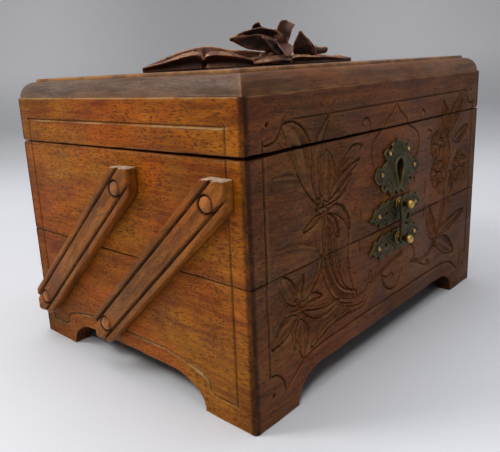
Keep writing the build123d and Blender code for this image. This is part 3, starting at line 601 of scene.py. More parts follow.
def border(cut):
    """The line round the front: hollow corners above, curls and points over the feet."""
    cut.groove([(-64, 92.3), (-30, 92.3), (30, 92.3), (66, 92.3)], 1.2, 0.4, 0.0, 4)
    cut.grooves([(-65.2, 93), (-66, 89.5), (-69, 86.8), (-74.6, 86.2)],
                [(67.2, 93), (68, 89.5), (71, 86.8), (76.2, 86.2)], width=1.3, depth=0.7)
    for x, low in ((-74.2, 16.5), (74.8, 15.5)):
        cut.groove([(x, low), (x, (low + 87) / 2), (x, 87)], 1.7, 0.85, 0.0, 4)
    for hand in (-1, 1):
        cut.groove([(hand * x, z) for x, z in ((74.4, 16.8), (70.5, 15.6), (68, 13), (66.8, 9))], 1.2, 0.6)
        cut.groove([(hand * x, z) for x, z in ((66.4, 9), (63, 11.4), (58.5, 14.4), (53, 16.2), (46, 17))],
                   1.3, 0.65, 0.05)
        cut.dot(hand * 72.7, 9.8, 1.1, 1.2)
        cut.dot(hand * 72, 92, 1.1, 1.2)
    cut.groove([(-47, 17), (-20, 17.3), (20, 17.3), (47, 17)], 1.3, 0.65, 0.02, 4)


def keyhole_vine(cut):
    """Ogee and scrolls round the lock."""
    cut.grooves([(2.2, 92), (-1, 88.6), (-5, 86.4), (-7.4, 83.4), (-11.5, 81.8), (-14.6, 79), (-15.6, 75),
                 (-13.8, 70.6)],
                [(2.2, 92), (6, 88.4), (10, 86), (12, 83), (17, 81.2), (20.6, 78), (21, 73.8), (18, 69)],
                width=1.2, depth=0.6, taper=0.04)
    cut.grooves([(-17, 83.6), (-16.8, 86.6), (-19, 88.6), (-21.6, 87.4), (-20.4, 85.2)],
                [(22.6, 83.2), (21.6, 85.6), (24, 87.4), (26.2, 86), (25, 84.4)],
                [(-23, 81), (-22, 79.4), (-24, 78.2)], [(27.4, 78), (30, 79), (33.4, 77.2), (31, 75.4), (28.8, 76)],
                [(-22.2, 58.4), (-22, 55.5), (-21.4, 52.4)], [(28.4, 58.4), (28.2, 55), (27.6, 52.4)],
                [(28, 49.6), (27.8, 46), (27.4, 43.6), (25.6, 43)], [(16.8, 62.6), (18.2, 61), (18.6, 59)],
                [(-23, 47), (-23.2, 44.5), (-22.6, 42)], width=1.2, depth=0.65, taper=0.3)


def lily_plant(cut):
    """Two lilies on a broad stem, left of the lock."""
    for points in ([(-62, 84), (-50, 76), (-44, 62), (-43, 45), (-32, 28)],
                   [(-68, 40), (-58, 33), (-46, 30), (-30, 24)], [(-44, 84), (-38, 74), (-28, 70)]):
        cut.lower_ground(points, 11, 0.7)
    cut.leaf([(-49, 50.5), (-58, 53.4), (-70.5, 54.8)], 2.1, 0.7, 0.35, 0.0, polish=1.0)
    cut.leaf([(-56.2, 74.2), (-63, 75.4), (-70.7, 76.4)], 2.3, 0.75, 0.35, 0.0, polish=1.0)
    cut.stem([(-40.6, 60), (-39.2, 50), (-38, 42), (-34, 34.5), (-28.6, 29.4)], 1.5, lines=1)
    cut.stem([(-45, 61), (-45, 50), (-43.4, 42), (-39, 34), (-33, 29), (-27, 26.8)], 2.5, lines=2)
    cut.leaf([(-27, 29), (-31, 35), (-32.6, 42.5), (-30, 51)], 2.7, hollow=0.6, peak=0.5)
    cut.leaf([(-47, 63.5), (-51, 69.6), (-54.2, 77), (-56.4, 84), (-60.4, 88.4), (-65.2, 91)], 4.7,
             hollow=1.1, rib=0.3, peak=0.62, polish=0.9)
    cut.leaf([(-43.4, 64.6), (-42.4, 72.6), (-43, 81)], 4.8, hollow=1.1, rib=0.6, peak=0.52, blunt=0.6, polish=0.6)
    cut.leaves((1.2, (-41.6, 63.6), (-34, 66), (-27.4, 71)), (1.5, (-41.4, 65), (-34, 70), (-22.6, 75.4)),
               (1.8, (-42, 61), (-36, 60.4), (-31.4, 56.6), (-29.4, 51.6)),
               (1.4, (-42.6, 60), (-38.4, 56.6), (-36, 50.6)), (1.4, (-46, 61), (-50, 59.4), (-56.4, 57.6)),
               (2.2, (-46.8, 64), (-48.4, 73), (-47.8, 79.4), (-45.4, 85.4), (-40.8, 92)), polish=0.7)
    cut.groove([(-39, 69), (-34.4, 75), (-29.4, 79.6), (-24.4, 80.6), (-21.6, 78.6)], 1.5, 0.7, 0.2)
    cut.groove([(-40, 67), (-35.8, 72.6), (-31, 76), (-26.4, 77)], 1.2, 0.6, 0.2)
    cut.dot(-22, 79.4, 1.1, 0.9)
    cut.stamens((-43.6, 63), ((-37.6, 66), (-37, 62.6), (-39.2, 58.8), (-47.6, 66.4), (-48.6, 62.8)),
                1.2, 0.9, 1.1, 1.4, bow=0.2)
    cut.leaves((1.8, (-56.6, 35), (-51, 38.8), (-47.4, 42.6), (-46, 48)),
               (1.6, (-56, 31.4), (-50, 28.4), (-43, 27.2), (-35, 28.6)),
               (1.4, (-56, 33), (-51, 34.6), (-45.6, 33.4)), (1.6, (-58, 35), (-57.6, 39.4), (-56, 44.4)),
               (2.9, (-60, 35), (-63, 40), (-67, 46.4)), (1.5, (-59.6, 30), (-61.2, 26), (-61.2, 20)),
               (3.1, (-60.4, 31.6), (-66, 29), (-73.2, 25)), (3.0, (-58, 29.4), (-56.6, 22.6), (-57, 15.4)),
               hollow=0.95, polish=0.8)
    cut.stamens((-58, 33), ((-54.6, 37.4), (-53.2, 33.6), (-54.8, 29.4), (-60.4, 36.6), (-62, 33.2)),
                1.3, 1.1, 1.3, 1.6)
    cut.stem([(-52, 18.4), (-42, 21.6), (-30, 22), (-21, 21.6), (-16.6, 24.8), (-15, 28.4), (-15.6, 32)], 0.95)
    cut.groove([(-45, 28.6), (-36, 26), (-28, 25.6), (-20, 26.4), (-15.4, 29.4)], 1.1, 0.55)
    cut.groove([(-49, 18.6), (-49.6, 21.6), (-48, 24.4)], 1.2, 0.55)


def bottom_scroll(cut):
    """The vine that joins the two plants under the lock."""
    cut.stem([(-14.6, 28.4), (-8, 30), (0, 32), (9, 33)], 0.55, 0.5)
    cut.groove([(-12.4, 30), (-10.2, 33), (-9, 36)], 1.2, 0.6)
    cut.groove([(-7, 29.4), (-5, 24), (0, 20.6), (4.4, 20.4), (7.8, 23.6), (10, 27.4)], 1.4, 0.7, 0.08)
    cut.groove([(-6.4, 28.4), (-3, 26.4), (0.4, 27.2), (3, 25.4)], 1.1, 0.5)
    cut.groove([(13, 36.4), (17, 34.4), (20, 30.6), (19, 26.8), (15.4, 27.2)], 1.3, 0.6)
    cut.stem([(18.6, 27), (24, 25.2), (31, 25.6), (37, 27.4), (41, 30)], 0.55, 0.5)
    cut.groove([(19, 27.6), (25, 24), (30.4, 21.8)], 1.1, 0.55)
    cut.dot(32, 21.4, 1.4, 0.9)
    cut.groove([(31, 23.2), (33.6, 22.8), (35, 20.6)], 1.2, 0.6)


def blossom_plant(cut):
    """Blossoms and hollow leaves on an upright stem, right of the lock."""
    for points in ([(50, 78), (50, 60), (48, 42), (40, 28)], [(38, 70), (38, 58)], [(64, 60), (56, 58)]):
        cut.lower_ground(points, 9, 0.6)
    plain = {"hollow": 0.95, "edge": 0.9, "rib": 0.25, "polish": 0.2}
    cut.stem([(50, 78), (49.6, 68), (50.4, 60), (51.4, 52), (50.6, 46), (47.4, 38), (43, 31.6), (39.8, 28)], 0.8)
    for points in ([(42, 62.6), (45.6, 62.4), (49.6, 60.6)], [(60, 59), (56.6, 57), (52, 57)],
                   [(41, 71.6), (45, 71), (49.6, 68.6)]):
        cut.stem(points, 0.5)
    cut.leaves((3.6, (50, 59.6), (49.6, 66), (49.8, 74)), (4.8, (51, 46.6), (52, 52), (53, 59)),
               (1.7, (46.6, 56.4), (44, 53), (43.4, 48.8)), hollow=1.8, edge=1.2, rib=0.3)
    cut.leaves((3.3, (48.4, 76.6), (46.2, 82), (44.4, 86), (42.6, 89.8)),
               (4.4, (50.2, 76), (55, 82.6), (59.6, 87), (62.8, 91.4)), (2.7, (55.4, 71.4), (63, 73.2), (71, 76.6)),
               **plain)
    cut.blossom(39.6, 72, 6.0, 1.1)
    cut.blossom(40.4, 59.6, 6.2, 0.5)
    cut.blossom(64, 59, 7.2, 0.2)
    cut.groove([(50.4, 45), (53, 45.6), (54.2, 43.4)], 1.2, 0.6)
    cut.leaves((3.9, (40.6, 31), (35.8, 36.6), (33.2, 42), (32.6, 47.4)),
               (2.8, (43.6, 32.4), (53, 34), (62, 35.8), (70.2, 37.6)),
               (3.7, (41.6, 29), (48.6, 26.4), (55, 22.8), (61, 19.4)), **plain)
    cut.grooves([(36, 39.4), (36.6, 37.4)], [(51.6, 26), (53.4, 24.8)], width=1.6, depth=0.5, taper=0.5)


def carve_front(across, height):
    cut = Carving(across, height)
    for plant in (keyhole_vine, blossom_plant, lily_plant, bottom_scroll, border):
        plant(cut)
    return 1.4 * np.maximum(cut.depth, cut.ground * (cut.depth < 0.02)), cut.polish


def carve_plain(side):
    """The single line round a plain side, dipping into each foot."""
    half = sides[side][2]
    reach = (half - border_inset[side]) / grid_step
    edge = half - foot_length
    line = {"width": 1.4, "depth": 0.75, "taper": 0}

    def carve(across, height):
        cut = Carving(across, height)
        level, foot = (wall_top - 9.6) / grid_step, 9.0 / grid_step
        shoulder, sill = (edge - arch_round[side]) / grid_step, (apron + 7.2) / grid_step
        cut.groove([(-reach - 0.5, level), (0, level), (reach + 0.5, level)], **line, steps=4)
        for hand in (-1, 1):
            upright = [(reach, foot - 0.5), (reach, 50), (reach, level + 0.4)]
            dip = [(0, sill), (shoulder * 0.6, sill), (shoulder, sill - 0.2), (reach - 14, sill - 3.4),
                   (reach - 11, foot + 1.2), (reach - 9.4, foot)]
            base_line = [(reach - 9.6, foot), (reach - 4, foot), (reach + 0.2, foot)]
            for points, steps in ((upright, 4), (dip, 8), (base_line, 4)):
                cut.groove([(hand * x, z) for x, z in points], **line, steps=steps)
        return cut.depth, cut.polish
    return carve


# ---------------------------------------------------------------- boards
def soften(field, rounds):
    """Average a grid with its neighbours, several times over."""
    for _ in range(rounds):
        field = np.pad(field, 1, mode="edge")
        field = (field[1:-1, 1:-1] * 2 + field[:-2, 1:-1] + field[2:, 1:-1] + field[1:-1, :-2] + field[1:-1, 2:]) / 6
    return field


def arch_height(side, across):
    """Underside of a base board: feet at the ends and an arch between."""
    edge = sides[side][2] - foot_length
    share = limit((np.abs(across) - (edge - arch_round[side])) / arch_round[side])
    curve = foot_nick + (apron - foot_nick) * np.sqrt(1 - share**2)
    return np.where(np.abs(across) >= edge, 0.0, curve)


# Half a seam, the lip under a board, and the band of fine rows along its edges.
seam_slack, lip, edge_band = 0.12, 0.8, 1.2


def board_grid(side, bottom, top, step, low_gap):
    """Where a board's face is sampled, finer at its edges, its arch and its border line."""
    flat = sides[side][2] - 2 * corner_flat
    columns = [np.arange(-flat, flat, step), [flat]]
    if bottom == 0:
        edge = sides[side][2] - foot_length
        near = edge - arch_round[side] * (1 - np.cos(np.linspace(0, math.pi / 2, 28)))
        for hand in (-1, 1):
            columns += [hand * near, [hand * (edge - 0.02), hand * edge]]
    for ease in (0.12, 0.3, 0.6):
        columns.append([-flat + ease, flat - ease])
    if side in border_inset:
        line = sides[side][2] - border_inset[side]
        columns.append([hand * (line + off) for hand in (-1, 1) for off in np.arange(-1.05, 1.06, 0.175)])
    columns = np.unique(np.round(np.concatenate(columns), 3))
    columns = np.concatenate([[-flat - corner_flat], columns, [flat + corner_flat]])
    low = arch_height(side, columns) if bottom == 0 else np.full(len(columns), bottom + seam_slack)
    if low_gap is not None:
        low = low + low_gap(columns)
    high = np.full(len(columns), top - (seam_slack if top < wall_top else 0.0))
    edge_rows = np.array([0.0, 0.1, 0.25, 0.45, 0.75, edge_band])
    inner_rows = np.linspace(0, 1, max(4, int(round((top - bottom) / step))))[1:-1]
    if side in border_inset and top == wall_top:
        at_line = np.arange(109.2, 111.7, 0.2)
        at_line = (at_line - bottom - seam_slack - edge_band) / (top - bottom - seam_slack - 2 * edge_band)
        inner_rows = np.unique(np.round(np.concatenate([inner_rows, at_line]), 4))
    height = np.concatenate([low[:, None] + edge_rows,
                             low[:, None] + edge_band + inner_rows * (high - low - 2 * edge_band)[:, None],
                             high[:, None] - edge_rows[::-1]], axis=1)
    return columns, low, high, np.repeat(columns[:, None], height.shape[1], axis=1), height


def edge_distance(side, bottom, low, high, across, height):
    """How far a spot on a board lies from the nearest worn edge."""
    distance = np.minimum(height - low[:, None], high[:, None] - height)
    if bottom == 0:
        edge = sides[side][2] - foot_length
        inside = np.abs(across) < edge
        wall, foot_side = limit(edge - np.abs(across), 0, None), limit(np.abs(across) - edge, 0, None)
        by_foot = np.where(height < foot_nick + 1.5, foot_side + 0.15, 9)
        distance = np.where(inside | (height > apron), distance, np.minimum(distance, by_foot))
        at_wall = inside & (wall < 2.5) & (height < apron)
        distance = np.where(at_wall, np.minimum(distance, wall * 0.5 + 0.1), distance)
    return distance


def slopes(field, over):
    """Slope of a grid along its first and its second direction."""
    return [np.gradient(field, axis=axis) / np.maximum(np.gradient(run, axis=axis), 0.05)
            for axis, run in enumerate(over)]


def front_age(depth, polish, across, height, grime, wear):
    """The front: grime and painted shade in the cuts; a painted shadow on the flanks that face down and right and a
    painted highlight on those that face up and left, strongest on the polished petals; and darker to the right.
    """
    hollow = limit((depth - soften(depth, 6)) * 2.6 + (depth - soften(depth, 30)) * 0.35)
    grime, wear = limit(grime + hollow), 0.6 * wear
    leftwards, upwards = slopes(soften(depth, 5), (across, height))
    lit_slope = upwards - leftwards
    # Facets that face up and to the left, towards the light, get a painted highlight; those that face away get painted
    # shade.
    wear = np.maximum(wear, limit(lit_slope * 0.6, 0, 0.8) * (1 - 0.7 * hollow))
    # Polished petals get more painted highlight where they face the light.
    wear = np.maximum(wear, polish * (0.5 + 0.5 * limit(lit_slope * 2, -1, 1)))
    grime = grime * (1 - 0.25 * limit(lit_slope)) + 0.35 * limit(-lit_slope)
    return limit(grime + 0.4 * limit((across - 20) / 60)), wear


def plain_age(side, depth, across, height, grime, wear):
    """A plain side has its border line picked out by grime and painted shade in the groove and a painted highlight on
    the flank that faces the light, dust and painted shade low down towards the back, and a darker band along the top of
    the lid boards.
    """
    hollow = limit((depth - soften(depth, 14)) * 1.7 + limit(depth - 0.25) * 0.55)
    near_slope, lower_slope = slopes(depth, (across, height))
    # The groove flanks that face the light get a painted highlight and less grime.
    lit_slope = limit(soften(lower_slope, 1)) + limit(soften(-near_slope, 1))
    rearwards = across * {"left": -1, "right": 1, "back": 0}[side]
    # Dust and painted shade low down towards the back.
    dust_and_shade = (0.38 + 0.14 * limit((24 - height) / 18)) * limit((75 - height) / 20) * limit((rearwards - 10) / 40)
    grime = limit(grime + hollow) * (1 - 0.75 * limit(lit_slope)) + 0.15 * limit((height - 112) / 4) + dust_and_shade
    return limit(grime), np.maximum(wear, limit(lit_slope * 1.1))


def board_shell(side, columns, low, high, size):
    """What lies behind a board's face: a lip, an inner foot and an inner head for each of its columns."""
    middle, along, half = sides[side]
    inward = Vector((0, 0, 1)).cross(along)
    last = len(columns) - 1
    start, points, faces = len(columns) * size, [], []
    lips, feet, heads = [0], [0], [size - 1]
    for number in range(1, last):
        u = float(columns[number])
        inwards = min(board, half - abs(u))
        for row, reach, z in ((lips, min(lip, inwards), low), (feet, inwards, low), (heads, inwards, high)):
            row.append(start + len(points))
            points.append(tuple(middle + along * u + inward * float(reach) + Vector((0, 0, float(z[number])))))
    for row, end in ((lips, 0), (feet, 0), (heads, size - 1)):
        row.append(last * size + end)
    for c in range(last):
        a, b = c * size, (c + 1) * size
        faces += [(a + r, b + r, b + r + 1, a + r + 1) for r in range(size - 1)]
        edges = ([a, lips[c], lips[c + 1], b], [lips[c], feet[c], feet[c + 1], lips[c + 1]],
                 [a + size - 1, b + size - 1, heads[c + 1], heads[c]])
        faces += [tuple(dict.fromkeys(edge)) for edge in edges]
        if c == 0:
            faces.append(tuple(range(a, a + size)) + (heads[1], feet[1]))
        elif c == last - 1:
            faces.append(tuple(range(b, b + size)) + (heads[c], feet[c]))
        else:
            faces.append((feet[c], feet[c + 1], heads[c + 1], heads[c]))
    return points, faces


def side_board(name, side, bottom, top, step, low_gap):
    """One board of the box: a carved outer face, eased edges, mitred ends and a plain inner face."""
    middle, along, half = sides[side]
    inward = Vector((0, 0, 1)).cross(along)
    flat = half - 2 * corner_flat
    columns, low, high, across, height = board_grid(side, bottom, top, step, low_gap)
    depth, polish = (carve_front if side == "front" else carve_plain(side))(across, height)
    from_edge = edge_distance(side, bottom, low, high, across, height)
    radius = 0.7 * (0.75 + 0.5 * np.sin(across * 0.31 + bottom) * np.sin(across * 0.073 + 1.3) ** 2)
    rounding = radius - np.sqrt(limit(radius**2 - limit(radius - from_edge, 0, None) ** 2, 0, None))
    out = np.where(np.abs(across) > flat, -corner_flat, -np.maximum(depth, rounding))
    face = (np.array(middle) + across[..., None] * np.array(along) - out[..., None] * np.array(inward)
            + height[..., None] * np.array((0, 0, 1.0)))

    near_seam = (limit(1 - (height - low[:, None]) / 0.8) * (bottom > 0)
                 + limit(1 - (high[:, None] - height) / 0.8) * (top < wall_top))
    # Painted shade on the mitred corner facets, which also get no wear.
    corner_shade = limit(1.3 - (flat - np.abs(across)) / 1.2)
    grime = 0.55 * near_seam + 0.95 * corner_shade
    wear = limit((soften(depth, 5) - depth) * 2.4) + limit(1 - from_edge / 0.8) * (1 - near_seam)
    if side == "front":
        grime, wear = front_age(depth, polish, across, height, grime, wear)
    else:
        grime, wear = plain_age(side, depth, across, height, grime, wear)
    wear = limit(wear) * (1 - corner_shade)

    behind, faces = board_shell(side, columns, low, high, height.shape[1])
    # Painted shade on the inner faces: dark under the base boards, lighter on the other tiers.
    under = 1.0 if bottom == 0 else 0.3
    material = {"front": front_walnut, "back": back_walnut}.get(side, side_walnut)
    piece = make_piece(name, face.reshape(-1, 3).tolist() + behind, faces, material)
    shaded = np.tile([under, under, 0.3], len(columns) - 2)
    set_masks(piece, np.append(grime, shaded), np.append(wear, 0 * shaded))
    sharpen(piece, 50)
    return piece


def lid_gap(side):
    """The lid has warped a little and stands open at the near corner."""
    hand = -1 if side == "front" else 1

    def gap(across):
        share = limit((hand * across + 98) / 190)
        return 0.1 + 1.15 * share**1.6 + (hand < 0) * 0.9 * limit((across - 93) / 3)
    return gap


def board_step(tier, side):
    """How finely a board's face is sampled, in mm."""
    if side == "front":
        return cell(0.42)
    return cell(0.4) if (tier, side) == ("base", "left") else 0.6


boards = {}
for tier, (bottom, top) in tiers.items():
    for side in sides:
        gap = lid_gap(side) if tier == "lid" and side in ("front", "left") else None
        boards[tier, side] = side_board(f"{tier}_{side}_board", side, bottom, top, board_step(tier, side), gap)


# ---------------------------------------------------------------- worn solid shapes
def box_cutter(low, high):
    corners = [[(low, high)[(n >> axis) & 1][axis] for axis in range(3)] for n in range(8)]
    faces = [(0, 2, 3, 1), (4, 5, 7, 6), (0, 1, 5, 4), (2, 6, 7, 3), (0, 4, 6, 2), (1, 3, 7, 5)]
    return make_piece("cutter", corners, faces, smooth=False)


# Room for the lock case in the tray's front, and for the catch in the lid's.
lock_deep = (front_y + 1.95, front_y + 8.5)
for tier, reach, low, high in (("tray", lock_half, 69.95, 101), ("lid", 10.05, 99, 101.05)):
    pocket = box_cutter((lock_x - reach, lock_deep[0], low), (lock_x + reach, lock_deep[1], high))
    cut_away(boards[tier, "front"], pocket)


def bar(ring, other, material=None, name="cutter"):
    """A solid between two rings of points."""
    count = len(ring)
    faces = [tuple(range(count)), tuple(range(count, 2 * count))]
    faces += [(n, (n + 1) % count, count + (n + 1) % count, count + n) for n in range(count)]
    return make_piece(name, ring + other, faces, material)


def prism(outline, place, low, high, material=None, name="cutter"):
    """A plate between two depths from an outline; place turns (across, up, out) into a point."""
    return bar(*[[place(a, b, out) for a, b in outline] for out in (low, high)], material, name)


def circle(a, b, radius, count=28, stretch=1.0):
    return [(a + stretch * radius * math.cos(t), b + radius * math.sin(t))
            for t in np.linspace(0, 2 * math.pi, count, endpoint=False)]


def on_front(a, b, out):
    return (a, front_y - out, b)


def along_width(a, b, out):
    return (out, a, b)


def on_side(hand):
    """Places on the left (-1) or right (1) face: forward, up and out."""
    return lambda forward, up, out: (hand * (half_width + out), middle_y - forward, up)


def join_meshes(name, pieces, material):
    """One piece out of several."""
    shell = bmesh.new()
    for piece in pieces:
        shell.from_mesh(piece.data)
        bpy.data.objects.remove(piece)
    mesh = bpy.data.meshes.new(name)
    shell.to_mesh(mesh)
    shell.free()
    mesh.materials.append(material)
    shade_smooth(mesh)
    return add_object(name, mesh)


def lathe(name, profile, material, segments):
    """A turned piece about Z from (radius, height) points, closed at both ends."""
    points, faces, rings = [], [], []
    turns = np.linspace(0, 2 * math.pi, segments, endpoint=False)
    for radius, height in profile:
        if radius < 1e-6:
            rings.append([len(points)] * segments)
            points.append((0, 0, height))
        else:
            rings.append(list(range(len(points), len(points) + segments)))
            points += [(radius * math.cos(t), radius * math.sin(t), height) for t in turns]
    for low, high in zip(rings[:-1], rings[1:]):
        for n in range(segments):
            m = (n + 1) % segments
            faces.append(tuple(dict.fromkeys((low[n], low[m], high[m], high[n]))))
    return make_piece(name, points, [f for f in faces if len(f) > 2], material)


def row_maker():
    """Sets copies of a shape at the points of a mesh, each facing its own way and turned a little."""
    tree = bpy.data.node_groups.new("set in place", "GeometryNodeTree")
    for label, kind, start in (("Spots", "Geometry", None), ("Shape", "Object", None), ("Turn", "Float", math.tau),
                               ("Size spread", "Float", 0.03), ("Seed", "Int", 1), ("Finish", "Material", None)):
        socket = tree.interface.new_socket(label, in_out="INPUT", socket_type="NodeSocket" + kind)
        if start is not None:
            socket.default_value = start
    tree.interface.new_socket("Pieces", in_out="OUTPUT", socket_type="NodeSocketGeometry")
    given = put(tree, "NodeGroupInput").outputs

    def step(kind, inputs, number=0, **settings):
        return put(tree, kind, inputs, **settings).outputs[number]

    shape = put(tree, "GeometryNodeObjectInfo", {"Object": given["Shape"]}).outputs["Geometry"]
    facing = step("GeometryNodeInputNamedAttribute", {"Name": "facing"}, data_type="FLOAT_VECTOR")
    turned = step("FunctionNodeAlignRotationToVector", {"Vector": facing}, axis="Z")
    spin = step("FunctionNodeRandomValue", {2: 0.0, 3: given["Turn"], "Seed": given["Seed"]}, 1, data_type="FLOAT")
    about = step("FunctionNodeAxisAngleToRotation", {"Axis": (0, 0, 1), "Angle": spin})
    turned = step("FunctionNodeRotateRotation", {0: turned, 1: about}, rotation_space="LOCAL")
    smallest = reckon(tree, "SUBTRACT", 1.0, given["Size spread"])
    size = step("FunctionNodeRandomValue", {2: smallest, 3: 1.0, "Seed": given["Seed"]}, 1, data_type="FLOAT")
    copies = step("GeometryNodeInstanceOnPoints",
                  {"Points": given["Spots"], "Instance": shape, "Rotation": turned, "Scale": size})
    solid = step("GeometryNodeRealizeInstances", {0: copies})
    done = step("GeometryNodeSetMaterial", {"Geometry": solid, "Material": given["Finish"]})
    put(tree, "NodeGroupOutput", {"Pieces": done})
    return tree


row_tree = row_maker()


def set_in_place(name, shape, spots, facing, material, seed, size_spread):
    """Copies of a turned shape at spots, as one piece; the shape itself is cleared away."""
    mesh = bpy.data.meshes.new(name)
    mesh.from_pydata((np.array(spots, float) * MM).tolist(), [], [])
    attribute = mesh.attributes.new("facing", "FLOAT_VECTOR", "POINT")
    attribute.data.foreach_set("vector", np.array(facing, np.float32).ravel())
    piece = add_object(name, mesh)
    row = piece.modifiers.new("row", "NODES")
    row.node_group = row_tree
    chosen = {"Shape": shape, "Seed": seed, "Size spread": size_spread, "Finish": material}
    for socket in row_tree.interface.items_tree:
        if socket.item_type == "SOCKET" and socket.in_out == "INPUT" and socket.name in chosen:
            row[socket.identifier] = chosen[socket.name]
    settle(piece)
    bpy.data.objects.remove(shape)
    shade_smooth(piece.data)
    return piece


# ---------------------------------------------------------------- swing arms and their pins
arm_line = Vector((arm_high[0] - arm_low[0], arm_high[1] - arm_low[1])).normalized()
arm_across = Vector((-arm_line.y, arm_line.x))
arm_width, arm_thickness, arm_gap, arm_end, arm_wear = 15.0, 5.5, 0.4, 8.6, 0.05
groove_reach, groove_half, groove_depth = 4.3, 0.8, 1.25


def arm_edge(reach, forward=None, height=None):
    """Where a line along the arm, reach to one side of its middle, comes to a given place or height."""
    start = Vector(arm_low) + arm_across * reach
    travel = (forward - start.x) / arm_line.x if forward is not None else (height - start.y) / arm_line.y
    return start + arm_line * travel


def arm_blank(name, hand, shift, top, bottom, inner, outer):
    """The sawn arm with its bevel, two grooves and a sunk hole for each pin."""
    half, place = arm_width / 2 - arm_wear, on_side(hand)
    front, rear = arm_high[0] + arm_end - arm_wear, arm_low[0] - arm_end + arm_wear
    corners = [arm_edge(half, height=top), Vector((front, top)), arm_edge(-half, forward=front),
               arm_edge(-half, height=bottom), Vector((rear, bottom)), arm_edge(half, forward=rear)]
    piece = prism([(c.x + shift, c.y) for c in corners], place, inner, outer, arm_walnut, name)
    bevel = piece.modifiers.new("worn edges", "BEVEL")
    bevel.width, bevel.segments, bevel.limit_method = 0.6 * MM, 3, "NONE"
    settle(piece)
    cutters, beyond = [], 30
    for reach in (-groove_reach, groove_reach):
        rings = []
        for end, run in ((arm_low, -beyond), (arm_high, beyond)):
            spot, ring = Vector(end) + arm_across * reach + arm_line * run, []
            for turn in np.linspace(0, math.tau, 10, endpoint=False):
                at = spot + arm_across * (groove_half * math.cos(turn))
                ring.append(place(at.x + shift, at.y, outer + 0.1 + groove_depth * math.sin(turn)))
            rings.append(ring)
        cutters.append(bar(*rings))
    for forward, up in (arm_low, arm_high):
        for radius, low in ((3.5, outer - 1.5), (2.12, -0.5)):
            cutters.append(prism(circle(forward + shift, up, radius), place, low, outer + 1))
    return cut_away(piece, *cutters)


def swing_arm(node, hand, shift):
    """A flat arm, its ends sawn level and upright, frayed where the grain ends, and dark round its pins."""
    top, bottom = arm_high[1] + arm_end - arm_wear, arm_low[1] - arm_end + arm_wear
    inner, outer = arm_gap + 0.03, arm_gap + arm_thickness - arm_wear
    piece = fuse(arm_blank(f"{node}_worn", hand, shift, top, bottom, inner, outer), cell(0.32), 1)
    mesh = piece.data
    points, normals = mesh_points(mesh), vertex_normals(mesh)
    forward, up, out = middle_y - points[:, 1] - shift, points[:, 2], hand * points[:, 0] - half_width
    fibres = np.sin(out * 5.1 + forward * 1.7) * np.sin(out * 2.3 - forward * 3.9 + 1.0)
    at_top = limit((up - top + 0.9) / 0.6) * limit(normals[:, 2])
    at_foot = limit((bottom + 0.9 - up) / 0.6) * limit(-normals[:, 2])
    points[:, 2] += limit(fibres, -0.2) * 0.38 * (at_foot - at_top)
    across = (forward - arm_low[0]) * arm_across.x + (up - arm_low[1]) * arm_across.y
    along = (forward - arm_low[0]) * arm_line.x + (up - arm_low[1]) * arm_line.y
    dents = 0.12 * np.sin(along * 0.21 + shift) * np.sin(along * 0.057 + 2.0 + hand)
    points[:, 0] -= hand * limit(dents, -0.02) * (out > outer - 1.5)
    put_points(mesh, points)
    age(piece, 7, 4.2, 4.2)
    in_groove = limit(1.15 - np.abs(np.abs(across) - groove_reach) / 0.65) * (out > outer - 2)
    heads = [np.hypot(forward - pin[0], up - pin[1]) for pin in (arm_low, arm_high)]
    by_pin = limit((4.3 - np.minimum(*heads)) / 0.7)
    # The outer rims are paler: wear and a painted highlight.
    rim = limit((np.abs(across) - 5.3) / 0.8) * (out > outer - 1.2)
    grime, wear = get_masks(piece)
    set_masks(piece, limit(grime + in_groove * 0.6 + by_pin * 0.8),
              limit(wear + 0.3 * rim * (0.6 + 0.4 * np.sin(along * 0.4) ** 2)) * (1 - in_groove))
    # The level ends take the pale end grain, partly a painted highlight.
    mesh.materials.append(arm_end_grain_and_highlight)
    for face in mesh.polygons:
        level = face.center.z / MM
        if (level > top - 0.9 and face.normal.z > 0.55) or (level < bottom + 0.9 and face.normal.z < -0.55):
            face.material_index = 1
    dress(piece, "walnut_arm", node, node)


for hand, side in ((-1, "left"), (1, "right")):
    for row, shift in (("front", 0.0), ("rear", -arm_spacing)):
        swing_arm(f"arm_{side}_{row}", hand, shift)

pin_profile = [(0, -6.5), (1.8, -6.5), (1.98, -6.3), (1.98, 4.4), (2.9, 4.42), (2.97, 4.6), (2.96, 5.3), (2.86, 5.66),
               (2.55, 5.98), (1.9, 6.3), (1.1, 6.5), (0.4, 6.58), (0, 6.58)]
for tier, (forward, height), seed in (("base", arm_low, 3), ("tray", arm_high, 8)):
    ends = [(hand, shift) for hand in (-1, 1) for shift in (0, -arm_spacing)]
    spots = [on_side(hand)(forward + shift, height, 0) for hand, shift in ends]
    head = lathe("pin", pin_profile, pin_walnut, 40)
    points = mesh_points(head.data)
    level = points[:, 2]
    set_masks(head, limit((5.4 - level) * 2), limit((level - 6.0) * 1.6))
    put_points(head.data, points + 0.05 * np.sin(points[:, [1, 2, 0]] * 2.6) * (level > 4.5)[:, None])
    facing = [(hand, 0, 0) for hand, _ in ends]
    dress(set_in_place(f"{tier}_pins_domed", head, spots, facing, pin_walnut, seed, 0.02), "pin_wood", tier,
          f"{tier}_arm_pins")


# ---------------------------------------------------------------- brass on the front
def plate_outline(right, half, rise, z):
    """The right half of a plate's outline, in shares of its reach, with its mirror image."""
    return ([(lock_x + a * half, z + b * rise) for a, b in right]
            + [(lock_x - a * half, z + b * rise) for a, b in reversed(right) if a > 0])


def mirrored(lines, half, rise, z):
    """Lines on both halves of a plate."""
    return [[(lock_x + hand * a * half, z + b * rise) for a, b in line] for hand in (-1, 1) for line in lines]


